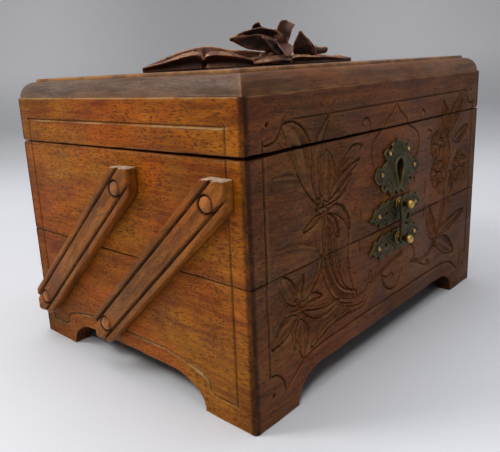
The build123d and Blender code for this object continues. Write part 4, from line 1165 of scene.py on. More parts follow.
def engrave(piece, lines, cut, crest, ripple=0.0):
    """Melt a plate into one skin, sink lines into its face, and age it."""
    mesh = fuse(piece, cell(0.24)).data
    points = mesh_points(mesh)
    depth = np.zeros(len(points))
    for line in lines:
        far = near_line(points[:, 0], points[:, 2], through(line, 6), 400)[1]
        depth = np.maximum(depth, cut * limit(1 - (far / 0.42) ** 2))
    face = limit((front_y - points[:, 1] - plate_thick + 0.45) / 0.3)
    points[:, 1] += depth * face
    points[:, 1] += ripple * np.sin(points[:, 0] * 1.9 + 1.0) * np.sin(points[:, 2] * 2.3) * face
    put_points(mesh, points)
    age(piece, 6, crest, 6.5)


def latch_plate(tier, z):
    """A cast plate with a fretted edge, pierced twice, with scrolls engraved on it."""
    half, rise = 24.8, 5.6
    right = [(0, -0.95), (0.1, -0.72), (0.2, -0.9), (0.33, -0.98), (0.43, -0.72), (0.52, -0.94), (0.64, -0.9),
             (0.68, -0.55), (0.78, -0.62), (0.85, -0.3), (0.99, -0.16), (0.87, 0.24), (0.8, 0.68), (0.7, 0.58),
             (0.62, 0.82), (0.5, 0.98), (0.42, 0.84), (0.32, 0.98), (0.2, 0.82), (0.1, 0.98), (0, 0.9)]
    scroll = [(0.84, -0.1), (0.72, 0.3), (0.58, 0.5), (0.47, 0.3), (0.52, -0.05), (0.6, 0.0)]
    low_scroll = [(0.78, -0.3), (0.66, -0.5), (0.5, -0.45), (0.36, -0.62), (0.24, -0.4)]
    fan = [(0.4, 0.55), (0.3, 0.1), (0.2, -0.1), (0.1, -0.5)]
    curls = mirrored((scroll, low_scroll, fan, [(0.26, 0.66), (0.2, 0.3), (0.12, 0.2)]), half, rise, z)
    outline = round_through(plate_outline(right, half, rise, z), 5)
    piece = prism(outline, on_front, 0.0, plate_thick, aged_brass, f"{tier}_plate_engraved")
    holes = [circle(lock_x + hand * 0.4 * half, z, 0.9, 16, 1.5) for hand in (-1, 1)]
    cut_away(piece, *[prism(hole, on_front, -1, plate_thick + 3) for hole in holes])
    engrave(piece, curls, 0.34, 3.2, ripple=0.05)
    dress(piece, "aged_brass", tier, f"{tier}_latch_plate")


def ball_stud(tier, height):
    """A turned stud: flanged collar, neck and ball."""
    ball = [(2.07 * math.sin(t), 6.7 - 2.07 * math.cos(t)) for t in np.linspace(0.6, math.pi, 16)]
    profile = [(0, -4.9), (1.1, -4.9), (1.25, -4.7), (1.25, 1.2), (2.6, 1.22), (2.85, 1.35), (2.85, 1.6), (2.6, 1.86),
               (1.88, 1.88), (1.88, 2.1), (1.86, 2.75), (1.4, 2.86), (1.13, 2.95), (1.13, 4.9), *ball[:-1], (0, 8.77)]
    shape = lathe("stud", profile, bright_brass, 40)
    points = mesh_points(shape.data)
    level, radius = points[:, 2], np.hypot(*points[:, :2].T)
    grime = limit(1.2 - np.abs(level - 2.9) / 0.9) + (level < 1.9) * (radius < 2.4) * 0.8
    set_masks(shape, grime + (np.abs(level - 4.6) < 0.7) * 0.7, limit((level - 7.2) / 1.2))
    spot = on_front(lock_x, height, 0)
    piece = set_in_place(f"{tier}_stud_turned", shape, [spot], [(0, -1, 0)], bright_brass, 5, 0.0)
    dress(piece, "bright_brass", tier, f"{tier}_latch_stud")


def tack_shape():
    profile = [(0, -2.8), (0.3, -2.4), (0.48, -1.8), (0.48, -0.05), (1.05, -0.05), (1.09, 0.08), (0.98, 0.36),
               (0.7, 0.58), (0.35, 0.68), (0, 0.7)]
    shape = lathe("tack", profile, bright_brass, 24)
    level = mesh_points(shape.data)[:, 2]
    set_masks(shape, limit((0.2 - level) * 4), limit((level - 0.3) * 2))
    return shape


tack_rows = {f"{tier}_latch_tacks": (tier, [(lock_x + hand * tack_x, latch_z[tier][0]) for hand in (-1, 1)])
             for tier in ("base", "tray")}
tack_rows["escutcheon_tacks"] = ("tray", [(lock_x + hand * a, shield_z + b) for hand in (-1, 1)
                                          for a, b in ((15.05, -1.452), (8.6, 6.996))])
for number, (node, (tier, spots)) in enumerate(tack_rows.items()):
    places = [on_front(a, b, 1.2) for a, b in spots]
    facing = [(0, -1, 0)] * len(spots)
    piece = set_in_place(f"{node}_domed", tack_shape(), places, facing, bright_brass, number, 0.04)
    dress(piece, "bright_brass", tier, node)

for tier, (plate_z, stud_z) in latch_z.items():
    latch_plate(tier, plate_z)
    ball_stud(tier, stud_z)


def escutcheon():
    """Shield round the keyhole: finial, side lobes pierced by rings, and an almond nozzle."""
    half, rise, key_x = 21.3, 13.1, lock_x + 0.1
    right = [(0, -0.98), (0.07, -0.82), (0.18, -0.86), (0.28, -0.97), (0.36, -0.84), (0.42, -0.68), (0.56, -0.74),
             (0.68, -0.62), (0.7, -0.42), (0.84, -0.4), (0.98, -0.18), (0.92, 0.02), (0.84, 0.16), (0.7, 0.1),
             (0.6, 0.22), (0.49, 0.3), (0.56, 0.42), (0.6, 0.58), (0.48, 0.7), (0.36, 0.62), (0.27, 0.7),
             (0.3, 0.82), (0.18, 0.88), (0.1, 0.84), (0.05, 0.92), (0, 0.985)]
    keyhole = [(1.65 * a, 1.1 * b) for a, b in
               ((0, 5.6), (1.3, 4.4), (1.95, 2.6), (1.9, 0.8), (1.35, -1.2), (0.9, -3.2), (0.55, -4.9), (0, -5.5),
                (-0.55, -4.9), (-0.9, -3.2), (-1.35, -1.2), (-1.9, 0.8), (-1.95, 2.6), (-1.3, 4.4))]
    hole = round_through([(key_x + a, keyhole_z + b) for a, b in keyhole], 4)
    collar = round_through([(key_x + 1.34 * a + math.copysign(0.2, a), keyhole_z + 1.16 * b) for a, b in keyhole], 4)
    lobe = [(0.9, -0.14), (0.8, -0.3), (0.66, -0.22), (0.66, 0.0), (0.78, 0.04)]
    curl = [(0.5, 0.56), (0.4, 0.42), (0.42, 0.2), (0.52, 0.06)]
    low_curl = [(0.3, -0.86), (0.24, -0.7), (0.34, -0.44), (0.46, -0.3)]
    lines = mirrored((lobe, [(0.58, -0.6), (0.46, -0.5), (0.36, -0.66)], curl,
                      [(0.26, 0.74), (0.18, 0.6), (0.26, 0.46)], low_curl, [(0.12, 0.7), (0.0, 0.62)]),
                     half, rise, shield_z)
    outline = round_through(plate_outline(right, half, rise, shield_z), 5)
    parts = [prism(edge, on_front, low, high, aged_brass, "plate")
             for edge, low, high in ((outline, 0.0, plate_thick), (collar, 0.2, 2.0))]
    piece = remesh(join_meshes("escutcheon_engraved", parts, aged_brass), 0.2)

    pierced = cut_away(boards["tray", "front"], prism(hole, on_front, -3, 1))
    spots = mesh_points(pierced.data)
    grime, wear = get_masks(pierced)
    # The wood in and around the keyhole is painted dark: painted shade.
    grime[np.hypot(spots[:, 0] - lock_x, (spots[:, 2] - keyhole_z) * 0.6) < 4.2] = 1.7
    set_masks(pierced, grime, wear)

    rings = [circle(lock_x + hand * 0.56 * half, shield_z - 0.55 * rise, 1.0, 16) for hand in (-1, 1)]
    cut_away(piece, *[prism(edge, on_front, -1, 4) for edge in (hole, *rings)])
    engrave(piece, lines, 0.36, 3.6)
    dress(piece, "aged_brass", "tray", "escutcheon")


escutcheon()


def hook():
    """The latch hook: an eye on the lower stud, a bar, a hooked head and a curled finger tab."""
    foot, rise = latch_z["base"][1], 16.1
    low, high = 3.2, 4.48
    parts = [prism(circle(lock_x, foot, 2.85), on_front, low, high, aged_brass)]
    tab = [(3.4 + 2.35 * math.cos(t), 9.9 + 2.35 * math.sin(t)) for t in np.linspace(2.6, -2.9, 12)]
    for widths, *line in (
            ([1.5, 1.15, 1.35, 1.5], (-0.7, 0), (-1.2, 4), (-0.95, 8), (-0.9, 13)),
            ([1.0, 0.75, 0.75, 0.65, 0.3], (-1.6, 12.4), (-2.4, rise), (-0.6, rise + 2.35), (1.6, rise + 2.3),
             (2.6, rise + 1.7)),
            ([0.9, 0.75, 0.62], (0.2, 9.2), *tab),
            ([0.6, 0.6, 0.5], (-0.6, 7), (0.6, 8.3), (1.3, 9.8))):
        line = through([(lock_x + a, foot + b) for a, b in line], 6)
        way = unit(np.gradient(line, axis=0))
        across = np.stack([-way[:, 1], way[:, 0]], 1)
        wide = drawn_out(widths, len(line))[:, None]
        edge = np.vstack([line + across * wide, (line - across * wide)[::-1]])
        parts.append(prism(edge, on_front, low, high, aged_brass))
    piece = remesh(join_meshes("latch_hook_forged", parts, aged_brass), 0.2)
    mouth = [(lock_x + a, foot + rise + b) for a, b in ((0.1, 1.6), (3.4, 1.6), (3.4, -2.25), (0.1, -1.62))]
    openings = (circle(lock_x, foot, 1.26), circle(lock_x, foot + rise, 1.62), mouth)
    cut_away(piece, *[prism(edge, on_front, low - 1, high + 1) for edge in openings])
    fuse(piece, cell(0.2))
    age(piece, 6, 2.6, 6.0)
    dress(piece, "aged_brass", "latch_hook", "latch_hook")


hook()


# ---------------------------------------------------------------- moulding and lid panel
def mould(side, material):
    """One run of the moulding: a quarter-round on a small foot, mitred into its neighbours."""
    middle, along, half = sides[side]
    inward = Vector((0, 0, 1)).cross(along)
    run, rise = 5.6, moulding_top - wall_top
    # Each spot of the profile: how far in, how high, its grime and its wear.
    profile = [(1.25, 120.0, 0.8, 0.0), (1.2, 120.05, 0.5, 0.7), (1.22, 120.4, 0.1, 0.8)]
    for t in np.linspace(0.06, math.pi / 2, 14):
        rubbed = 0.25 * (t < 0.3) + 0.5 * (t > 1.35)
        profile.append((1.2 + run * (1 - math.cos(t)) + 0.02, wall_top + rise * math.sin(t) - 0.02, 0.0, rubbed))
    profile += [(7.0, 127.18, 0.6, 0.2), (7.4, 127.18, 1.0, 0.0), (11.95, 127.18, 0.4, 0.0), (11.95, 120.0, 0.3, 0.0)]
    shares = np.linspace(-1, 1, 90 if half > 80 else 70)
    points, grime, wear = [], [], []
    for share in shares:
        for inset, level, darkening, rub in profile:
            u = share * (half - inset)
            wave = 0.1 * math.sin(u * 0.13 + 2) * math.sin(u * 0.041) * (121 < level < 127)
            points.append(middle + along * u + inward * (inset + abs(wave)) + Vector((0, 0, level)))
            grime.append(darkening)
            wear.append(rub * (0.5 + 0.5 * math.sin(u * 0.19 + level) ** 2) + 0.25 * (abs(share) > 0.985))
    piece = make_piece(f"moulding_{side}_run", points, tube(len(shares), len(profile)), material)
    set_masks(piece, grime, wear)
    sharpen(piece, 40)
    dress(piece, "walnut_moulding", "lid", f"moulding_{side}")


for side in sides:
    mould(side, long_moulding if side in ("front", "back") else reflection_grey_moulding)


def lid_slab():
    """The thin top board, a little hollowed by age, with rubbed edges; and the panel under it."""
    overlap, panel_inset = 7.35, 12.05
    reach_x, low_y, high_y = half_width - overlap, front_y + overlap, back_y - overlap
    eased = np.array([0, 0.08, 0.2, 0.4, 0.8, 1.6])
    xs = np.concatenate([-reach_x + eased, np.linspace(-reach_x + 4, reach_x - 4, 70), reach_x - eased[::-1]])
    ys = np.concatenate([low_y + eased, np.linspace(low_y + 4, high_y - 4, 50), high_y - eased[::-1]])
    x, y = np.meshgrid(xs, ys, indexing="ij")
    edge = np.minimum.reduce([x + reach_x, reach_x - x, y - low_y, high_y - y])
    short = limit(0.5 - edge, 0, None)
    level = lid_top - 0.03 - (0.5 - np.sqrt(0.25 - short**2)) * (0.8 + 0.3 * np.sin(x * 0.11 + y * 0.17))
    level -= 0.06 * (1 + np.sin(x * 0.05 + 1) * np.sin(y * 0.07))
    points = np.stack([x, y, level], -1).reshape(-1, 3).tolist()
    wide, deep = x.shape
    faces = [(i * deep + j, (i + 1) * deep + j, (i + 1) * deep + j + 1, i * deep + j + 1)
             for i in range(wide - 1) for j in range(deep - 1)]
    rim = ([i * deep for i in range(wide)] + [(wide - 1) * deep + j for j in range(1, deep)]
           + [i * deep + deep - 1 for i in range(wide - 2, -1, -1)] + list(range(deep - 2, 0, -1)))
    start, count = len(points), len(rim)
    points += [(points[n][0], points[n][1], moulding_top + 0.01) for n in rim]
    faces += [(rim[n], rim[(n + 1) % count], start + (n + 1) % count, start + n) for n in range(count)]
    faces.append(tuple(range(start, start + count)))
    core = len(points)
    near, far, right = front_y + panel_inset, back_y - panel_inset, half_width - panel_inset
    for z in (wall_top + 0.02, moulding_top - 0.02):
        points += [(-right, near, z), (right, near, z), (right, far, z), (-right, far, z)]
    faces += [tuple(core + n for n in face) for face in
              ((0, 3, 2, 1), (4, 5, 6, 7), (0, 1, 5, 4), (1, 2, 6, 5), (2, 3, 7, 6), (3, 0, 4, 7))]
    piece = make_piece("lid_top_worn", points, faces, lid_walnut)
    rubbed = np.concatenate([(limit(1 - edge / 0.7) * 0.9).ravel(), np.full(count, 0.6), np.zeros(8)])
    set_masks(piece, np.zeros(len(points)), rubbed)
    sharpen(piece, 40)
    dress(piece, "walnut_panel", "lid", "lid_top_panel")


lid_slab()


# ---------------------------------------------------------------- carved spray on the lid
def seen(*points):
    """Points set out in a side view as (across, up, back), slid so that they keep their place from the near corner."""
    return [(x + 1.09 * back, middle_y + back, 129.2 + (z - 129.2) * (1 + 0.0054 * back)) for x, z, back in points]


def petal(widths, side, spine, cup=0.3, thick=1.4, frill=0.0):
    """A petal or leaf on a line of points: side points across it, cup bends its edges up."""
    line = through(spine, 7)
    way = unit(np.gradient(line, axis=0))
    share = np.linspace(0, 1, len(line))
    wide = np.convolve(np.pad(drawn_out(widths, len(line)), 2, mode="edge"), np.ones(5) / 5, "valid")
    side = np.array(side, float)
    across = unit(side - (way @ side)[:, None] * way)
    up = np.cross(across, way)
    sheet = []
    for level in (0.5, -0.5):
        for k, j in enumerate(np.linspace(-1, 1, 9)):
            edge = 1 - 0.55 * abs(j) ** 3
            bend = cup * wide * (j * j) + frill * np.sin(share * 19 + k * 0.9) * abs(j)
            sheet.append(line + across * (wide * j)[:, None] + up * (bend + level * thick * edge)[:, None])
    rows = len(line)
    strips = [(k, k + 1) for top in (0, 9) for k in range(top, top + 8)] + [(0, 9), (8, 17)]
    faces = [(a * rows + n, a * rows + n + 1, b * rows + n + 1, b * rows + n)
             for a, b in strips for n in range(rows - 1)]
    for n in (0, rows - 1):
        faces += [(k * rows + n, (k + 1) * rows + n, (10 + k) * rows + n, (9 + k) * rows + n) for k in range(8)]
    return make_piece("petal", np.concatenate(sheet), faces)


def lump(centre, size):
    ball = bmesh.new()
    bmesh.ops.create_icosphere(ball, subdivisions=3, radius=MM)
    mesh = bpy.data.meshes.new("lump")
    for vertex in ball.verts:
        vertex.co = Vector(c * MM + v * s for c, v, s in zip(centre, vertex.co, size))
    ball.to_mesh(mesh)
    ball.free()
    return add_object("lump", mesh)


def leaf_block(*stations):
    """A solid leaf: raised rims near and far, a trough between them, hollow flanks and a flat foot.

    Each station says how far across it is, where its near rim is and how high, the same for its far rim, and how
    high its trough is."""
    low, rows = lid_top + 0.02, []
    for x, near, near_z, far, far_z, trough in stations:
        bevel = 0.22 * (near_z - low)
        rows.append(seen((x, low, near * 0.78), (x, (low + near_z - bevel) / 2, near * 0.64), (x, near_z - bevel, near),
                         (x, near_z, near * 0.74), (x, trough, near * 0.4), (x, trough + 0.7, (near + far) / 2),
                         (x, trough + 0.2, far * 0.68), (x, far_z, far * 0.88), (x, far_z - 0.7, far),
                         (x, (low + far_z) / 2, far * 0.75), (x, low, far * 0.8)))
    lines = [through(line, 8) for line in zip(*rows)]
    count = len(lines[0])
    return make_piece("leaf", [tuple(line[n]) for n in range(count) for line in lines], tube(count, len(lines)))


def carved(name, node, parts, veins=0.0, worn_and_lit=0.1, side_shade=0.6):
    """Melt carved parts together, keep them above the lid, cut veins and gouge marks, and age them: grime and painted
    shade in the hollows and on faces that don't face up, wear and a painted highlight on the crests and bevels.
    """
    piece = fuse(join_meshes(name, parts, spray_walnut), cell(0.42))
    mesh = piece.data
    points, normals = mesh_points(mesh), vertex_normals(mesh)
    x, y = points[:, 0], points[:, 1]
    stroke = 0.07 * np.sin(1.7 * y + 0.5 * x + 1.5 * np.sin(x * 0.23)) * (0.5 + 0.5 * np.sin(x * 0.11 + y * 0.3))
    off = np.abs(y - middle_y - 0.8 - 1.2 * np.sin(x * 0.07))
    slant = (x * np.sign(8 - x) - 0.9 * off) / 4.6
    vein = limit(3 * np.cos(math.tau * slant) - 2) * limit(off - 0.6)
    rib = limit(1.2 - np.abs(off - 0.9))
    points += normals * (stroke - veins * np.maximum(vein * 0.7, rib) * limit(3 * normals[:, 2] - 2.1))[:, None]
    points[:, 2] = limit(points[:, 2], lid_top, 151.1)
    put_points(mesh, points)
    age(piece, 6, 9.0, 5.0)
    grime, wear = get_masks(piece)
    facing = vertex_normals(mesh)[:, 2]
    # A painted highlight on the bevels that face part way up.
    lit = worn_and_lit * np.exp(-(((facing - 0.6) / 0.22) ** 2))
    # Faces that don't face up get painted shade, stronger on the flower and the bud.
    grime = limit(grime + limit(0.6 - facing) * (0.75 + side_shade), 0, 0.85 + 0.15 * side_shade) * limit(1 - 1.5 * wear)
    set_masks(piece, grime, limit((0.4 + worn_and_lit) * wear * limit(0.1 + 1.2 * facing, 0.1) + lit))
    dress(piece, "walnut_carving", "lid", node)


to_corner = (0.69, -0.72, 0.0)
carved("spray_leaves", "carved_leaves", [
    leaf_block((-78, -0.8, 131.0, 0.8, 131.4, 130.4), (-72, -3.8, 132.0, 3.6, 133.2, 131.0),
               (-66, -5.8, 133.0, 6.4, 134.9, 131.6), (-60, -7.2, 134.4, 8.6, 136.6, 132.2),
               (-54, -8.2, 135.9, 10.0, 137.7, 132.8), (-48, -8.2, 136.8, 12.2, 138.6, 133.2),
               (-44, -7.0, 136.3, 11.8, 138.9, 133.4), (-41.8, -4.6, 133.6, 12.6, 138.9, 133.2),
               (-39.4, -7.0, 136.0, 12.6, 138.9, 133.2), (-33, -8.6, 136.6, 11.0, 138.6, 133.0),
               (-27, -8.6, 136.1, 10.8, 137.8, 132.8), (-20, -7.8, 135.2, 8.6, 137.2, 132.4),
               (-13, -6.2, 133.7, 7.8, 136.9, 132.0), (-6, -4.4, 132.0, 6.0, 136.5, 131.8),
               (1, -2.6, 130.6, 4.4, 135.8, 131.4)),
    leaf_block((17, -1.6, 131.0, 1.6, 131.4, 130.6), (23, -4.8, 132.6, 5.0, 133.0, 131.4),
               (29, -6.6, 133.7, 7.4, 133.9, 131.8), (37, -7.4, 133.4, 8.6, 134.2, 131.9),
               (46, -7.2, 133.0, 8.4, 134.1, 131.8), (56, -5.8, 132.9, 6.6, 133.5, 131.4),
               (66, -4.0, 132.0, 4.4, 132.6, 131.0), (75, -2.4, 131.2, 2.6, 131.6, 130.4),
               (83, -0.6, 130.0, 0.6, 130.2, 129.8)),
    # the stalk, with a knot and a calyx on it
    petal([3.4, 4.2, 4.4, 3.6, 2.4, 1.2], (0, 1, 0),
          seen((-16, 130.6, 0), (0, 131.6, 0), (18, 132.0, 0), (40, 131.4, 0), (62, 130.2, 0), (83, 129.6, 0)),
          -0.25, 3.6),
    lump((12, 3.4, 130.0), (11, 4.6, 3.4)),
    lump((5, 4.0, 133.2), (8, 3.2, 3.2)),
    # a small leaf in front and one at the back, and seeds
    petal([0.8, 2.6, 2.8, 1.0], (0.2, 1, 0.5), seen((-8, 130.2, -5), (2, 131.8, -9), (12, 132.6, -9), (22, 131, -6)),
          0.2, 1.3),
    petal([1.2, 4.4, 4.8, 1.0], (0, 1, 0.1), [(14, 11, 131.2), (26, 15, 133.4), (40, 17.4, 133.0), (52, 16, 130.6)],
          -0.15, frill=0.2),
    lump((67, 4.4, 131.6), (2.6, 2.0, 1.5)),
    lump((71.4, 4.4, 131.3), (2.0, 1.8, 1.6)),
    lump((76.4, 4.4, 130.6), (2.4, 1.8, 1.4)),
    lump((81, 4.4, 129.9), (2.0, 1.4, 1.1)),
], 0.45, 0.45, 0)

carved("spray_flower", "carved_flower", [
    # petals and a lip to the left
    petal([2.8, 4.8, 5.2, 4.8, 0.6], (0.25, -0.5, 1),
          seen((15, 140.4, 1), (6, 142.4, 0), (-4, 143.2, -1), (-14, 142.8, -2), (-24, 141.9, -4)), 0.35, frill=0.5),
    petal([2.4, 3.6, 4.0, 3.4, 0.6], (0.2, -0.1, 1),
          seen((15, 136.6, -1), (6, 139.0, -2.5), (-4, 140.2, -3.5), (-13, 140.6, -4.5), (-22, 142, -4.5)),
          0.25, frill=0.3),
    # upper, back and tall petals
    petal([2.6, 4.2, 4.4, 3.2, 0.9], to_corner,
          seen((14, 136, 2), (7, 141, 3), (1, 145.2, 4), (-3.2, 147.8, 4), (-2.6, 150.0, 2)), 0.45, frill=0.3),
    petal([3.4, 5.8, 5.6, 3.6], to_corner, seen((14.6, 135, 4), (10.4, 140.6, 6), (7.6, 144.2, 7), (7, 146.4, 7)),
          0.35, frill=0.4),
    petal([2.6, 3.0, 3.8, 4.0, 3.8], to_corner,
          seen((15, 134, -1), (15.4, 138.5, -1), (16.2, 142.5, -1), (18, 146.5, -2), (22, 150.5, -3)), 0.4, 1.5, 0.1),
    # petals near, far, to the rear and low down
    petal([2.4, 3.0, 2.6, 0.7], (0.8, 0.2, 0.55), seen((15, 134.6, -1), (10, 137, -4), (5, 139.4, -7), (-1, 142.6, -9)),
          0.35, frill=0.2),
    petal([2.6, 4.8, 4.6, 0.8], (0.9, 0.1, -0.3), seen((16, 134.6, 4), (18, 139, 9), (17, 142.6, 13), (14, 144.6, 16)),
          0.4),
    petal([2.6, 5.0, 4.6, 0.8], (0.6, 0.7, 0.2), seen((13, 135, 5), (8, 138.6, 10), (3, 141.4, 14), (-1, 143.4, 16)),
          0.4, frill=0.2),
    petal([2.4, 4.2, 3.8, 0.8], (0.9, -0.3, 0),
          seen((14, 138.5, -3), (16, 138, -7), (17, 135.6, -11), (17, 132.4, -13.5)), -0.3),
    # the stamen, the cup with its heart, and the neck
    petal([0.8, 0.6, 0.8], (0, 0, 1), seen((12, 137, 0), (2, 142, -1), (-5, 145, -1)), 0, 1.2),
    lump((14.4, 4.4, 136.4), (4.6, 4.8, 4.0)),
    lump((11.5, 5.4, 141), (7.0, 4.4, 5.2)),
    petal([3.2, 2.8, 3.2], (0, 1, 0), [(15.6, 4.4, 130.4), (15.6, 4.4, 133), (14.8, 4.4, 137)], 0, 5.0),
])

carved("spray_bud", "carved_bud", [
    # tall and inner petals
    petal([5.0, 5.6, 3.8, 0.5], to_corner, seen((36, 133, -1), (33.6, 137.4, -1), (32.8, 141.4, -1), (32.2, 146.2, -1)),
          0.2, 1.5, 0.15),
    petal([3.2, 3.4, 0.8], to_corner, seen((40, 133.4, -2), (39.4, 137.4, -2), (37.4, 142.4, -2)), 0.25, 1.3),
    # petals to the right, back and rear
    petal([2.6, 2.4, 1.9, 1.8], (0.1, -0.2, 1), seen((38, 134.6, 0), (46, 135.4, -1), (53, 135.4, -1), (58, 135.8, -1)),
          0.25, 1.5, 0.15),
    petal([2.6, 4.4, 0.7], (0.7, -0.5, 0.3), seen((40, 133, 2), (44, 136, 5), (47, 137, 8)), 0.35),
    petal([2.6, 4.4, 0.7], (0.8, 0.3, 0.1), seen((38, 133, 3), (36, 137, 7), (35, 141, 9)), 0.35),
    # the cup and the neck
    lump((39.6, 4.4, 134.2), (4.8, 4.6, 3.4)),
    petal([4.4, 4.0], (0, 1, 0), [(39.8, 4.4, 130.6), (39.6, 4.4, 134)], 0, 5),
])


# ---------------------------------------------------------------- linings and pads
def velvet_ring(node, low, high, cut=None):
    """Velvet glued round the inside of a tier, its top edge turned over and its face a little uneven."""
    inset = board + 0.03
    reach_x, low_y, high_y = half_width - inset, front_y + inset, back_y - inset
    corners = [(-reach_x, low_y), (reach_x, low_y), (reach_x, high_y), (-reach_x, high_y)]
    spots = []
    for start, end in zip(corners, corners[1:] + corners[:1]):
        for share in np.linspace(0, 1, int(math.dist(start, end) / 2.2), endpoint=False):
            spots.append((start[0] + (end[0] - start[0]) * share, start[1] + (end[1] - start[1]) * share))
    levels = [0, 0.03] + list(np.linspace(0.1, 0.9, 9)) + [0.97, 1.0]
    mid_y = (low_y + high_y) / 2
    points = []
    for x, y in spots:
        on_x, on_y = abs(abs(x) - reach_x) < 1e-6, min(abs(y - low_y), abs(y - high_y)) < 1e-6
        way_x, way_y = -np.sign(x) * on_x, -np.sign(y - mid_y) * on_y
        run = x * 0.9 + y * 1.1
        for share in levels:
            swell = 0.62 + 0.2 * math.sin(run * 0.16 + share * 5) * math.sin(run * 0.047 + 1)
            swell += 0.1 * math.sin(run * 0.6 + share * 9)
            swell *= 0.55 + 0.45 * math.sin(math.pi * min(max(share, 0.02), 0.98)) ** 0.3
            points.append((x + way_x * swell, y + way_y * swell, low + (high - low) * share - 0.12 * (share == 1.0)))
        points += [(x, y, high - 0.25), (x, y, low)]
    piece = make_piece(f"{node}_velvet", points, tube(len(spots), len(levels) + 2, joined=True), red_velvet)
    if cut:
        cut_away(piece, box_cutter(*cut))
    level = mesh_points(piece.data)[:, 2]
    set_masks(piece, limit(1 - (level - low) / 3.0) * 0.7, limit(1 - (high - level) / 1.2) * 0.8)
    sharpen(piece, 70)
    dress(piece, "lining_cloth", node.split("_")[0], node)


velvet_ring("base_lining", floor_top["base"], 54.95)
velvet_ring("tray_lining", floor_top["tray"], 98.95,
            ((lock_x - 18.1, front_y + 7, 69.9), (lock_x + 18.1, front_y + 10, 101)))
velvet_ring("lid_lining", 101.05, 119.95)


def padded_board():
    """A stuffed panel the size of the floor, swelled by cloth simulation and flat underneath."""
    x, y, thick, last_frame = 86.9, 60.9, 2.6, 20
    pad = box_cutter((-x, -y, 0), (x, y, thick))
    start = mesh_points(remesh(pad, 1.9).data)
    cloth = pad.modifiers.new("stuffing", "CLOTH")
    settings = cloth.settings
    settings.use_pressure, settings.uniform_pressure_force = True, 4.0
    settings.effector_weights.gravity = 0.0
    settings.quality, settings.tension_stiffness = 6, 18
    cloth.point_cache.frame_start, cloth.point_cache.frame_end = 1, last_frame
    scene = bpy.context.scene
    for frame_number in range(1, last_frame + 1):
        scene.frame_set(frame_number)
    settle(pad)
    scene.frame_set(1)
    moved = mesh_points(pad.data) - start
    far = np.linalg.norm(moved, axis=1)[:, None]
    return start + moved * np.minimum(1, 2.5 / np.maximum(far, 1e-6)), pad


stuffed, pattern = padded_board()


def lay_pad(node, low_z, seed, upside_down=False):
    """One of the three pads, cut from the same pattern: flat on its board, tucked round its edge."""
    mesh, points, top_z = pattern.data.copy(), stuffed.copy(), low_z + pad_room
    x, y = points[:, 0], points[:, 1]
    reach = np.minimum(pad_x - np.abs(x), pad_y - np.abs(y))
    low, high = points[:, 2].min(), points[:, 2].max()
    share = (points[:, 2] - low) / (high - low)
    tuck = 0.22 * limit(1 - reach / 7) * np.sin((x * 0.62 + y * 0.71) + seed) * (share > 0.5)
    rolling = 0.18 * np.sin(x * 0.07 + seed) * np.sin(y * 0.085 + 1.2 * seed) * (share > 0.5)
    crown = 0.5 * limit(reach / 30) ** 0.6 * (share > 0.5)
    height = share * 2.75 + tuck + rolling + crown
    height = limit(np.where(share < 0.3, limit(share * 0.4, 0, 0.2), height), 0, pad_high)
    edge = 0.05
    points[:, 0] = limit(x, edge - pad_x, pad_x - edge)
    points[:, 1] = limit(y, edge - pad_y, pad_y - edge) + middle_y
    points[:, 2] = top_z - height if upside_down else low_z + height
    piece = add_object(f"{node}_stuffed", mesh)
    put_points(mesh, points)
    if upside_down:
        mesh.flip_normals()
    mesh.materials.append(red_velvet)
    finer = piece.modifiers.new("finer", "SUBSURF")
    finer.levels = finer.render_levels = 1
    settle(piece)
    points = mesh_points(piece.data)
    points[:, 2] = limit(points[:, 2], low_z + 0.01, top_z - 0.01)
    put_points(piece.data, points)
    age(piece, 8, 4.0, 4.0)
    shade_smooth(piece.data)
    dress(piece, "lining_cloth", node.split("_")[0], node)


lay_pad("base_pad", floor_top["base"], 0.4)
lay_pad("tray_pad", floor_top["tray"], 2.1)
lay_pad("lid_pad", wall_top - pad_room, 4.4, upside_down=True)
bpy.data.objects.remove(pattern)

# The boards give way to the hinges, and slope off behind them so that the lid and tray can swing.
for tier, way in (("tray", -1), ("lid", 1)):
    for side in ("back", "left", "right"):
        wedge = [(hinge_y, rim_z), (78, rim_z + way * 4.89), (78, rim_z - way * 0.5), (hinge_y, rim_z - way * 0.5)]
        cutters = [prism(wedge, along_width, -110, 110)]
        for x in (-hinge_x, hinge_x) if side == "back" else ():
            cutters.append(prism(circle(hinge_y, rim_z, 2.3, 24), along_width, x - 12.2, x + 12.2))
            cutters.append(box_cutter((x - 12.05, 68.35, rim_z - 1), (x + 12.05, hinge_y + 0.05, rim_z + 1)))
        cut_away(boards[tier, side], *cutters)

for (tier, side), piece in boards.items():
    dress(piece, "walnut_front" if side == "front" else "walnut_side", tier, f"{tier}_{side}")

# ---------------------------------------------------------------- CAD pieces that show as they are
finishes = {"floor": floor_deal, "hinge_leaf": aged_brass, "hinge_pin": bright_brass, "screws": lock_steel,
            "lock_case": lock_iron_and_keyhole_shade, "lock_bolt": lock_steel, "lid_catch": aged_brass}
for name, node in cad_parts.items():
    for part, finish in finishes.items():
        if part in name and not node.hide_render:
            for place in node.material_slots:
                place.material = finish

# ---------------------------------------------------------------- floor, light and camera
room_colour, distance_glow = rgb(0.93, 0.96, 1.0), 0.45
view_way, view_across = (0.725, 0.689, 0), (0.689, -0.725, 0)      # away from the camera, and to its right


def looked_at(tree):
    """1 where the eye, or a mirror, looks straight at a surface."""
    path = put(tree, "ShaderNodeLightPath").outputs
    return reckon(tree, "MAXIMUM", path["Is Camera Ray"], path["Is Glossy Ray"])


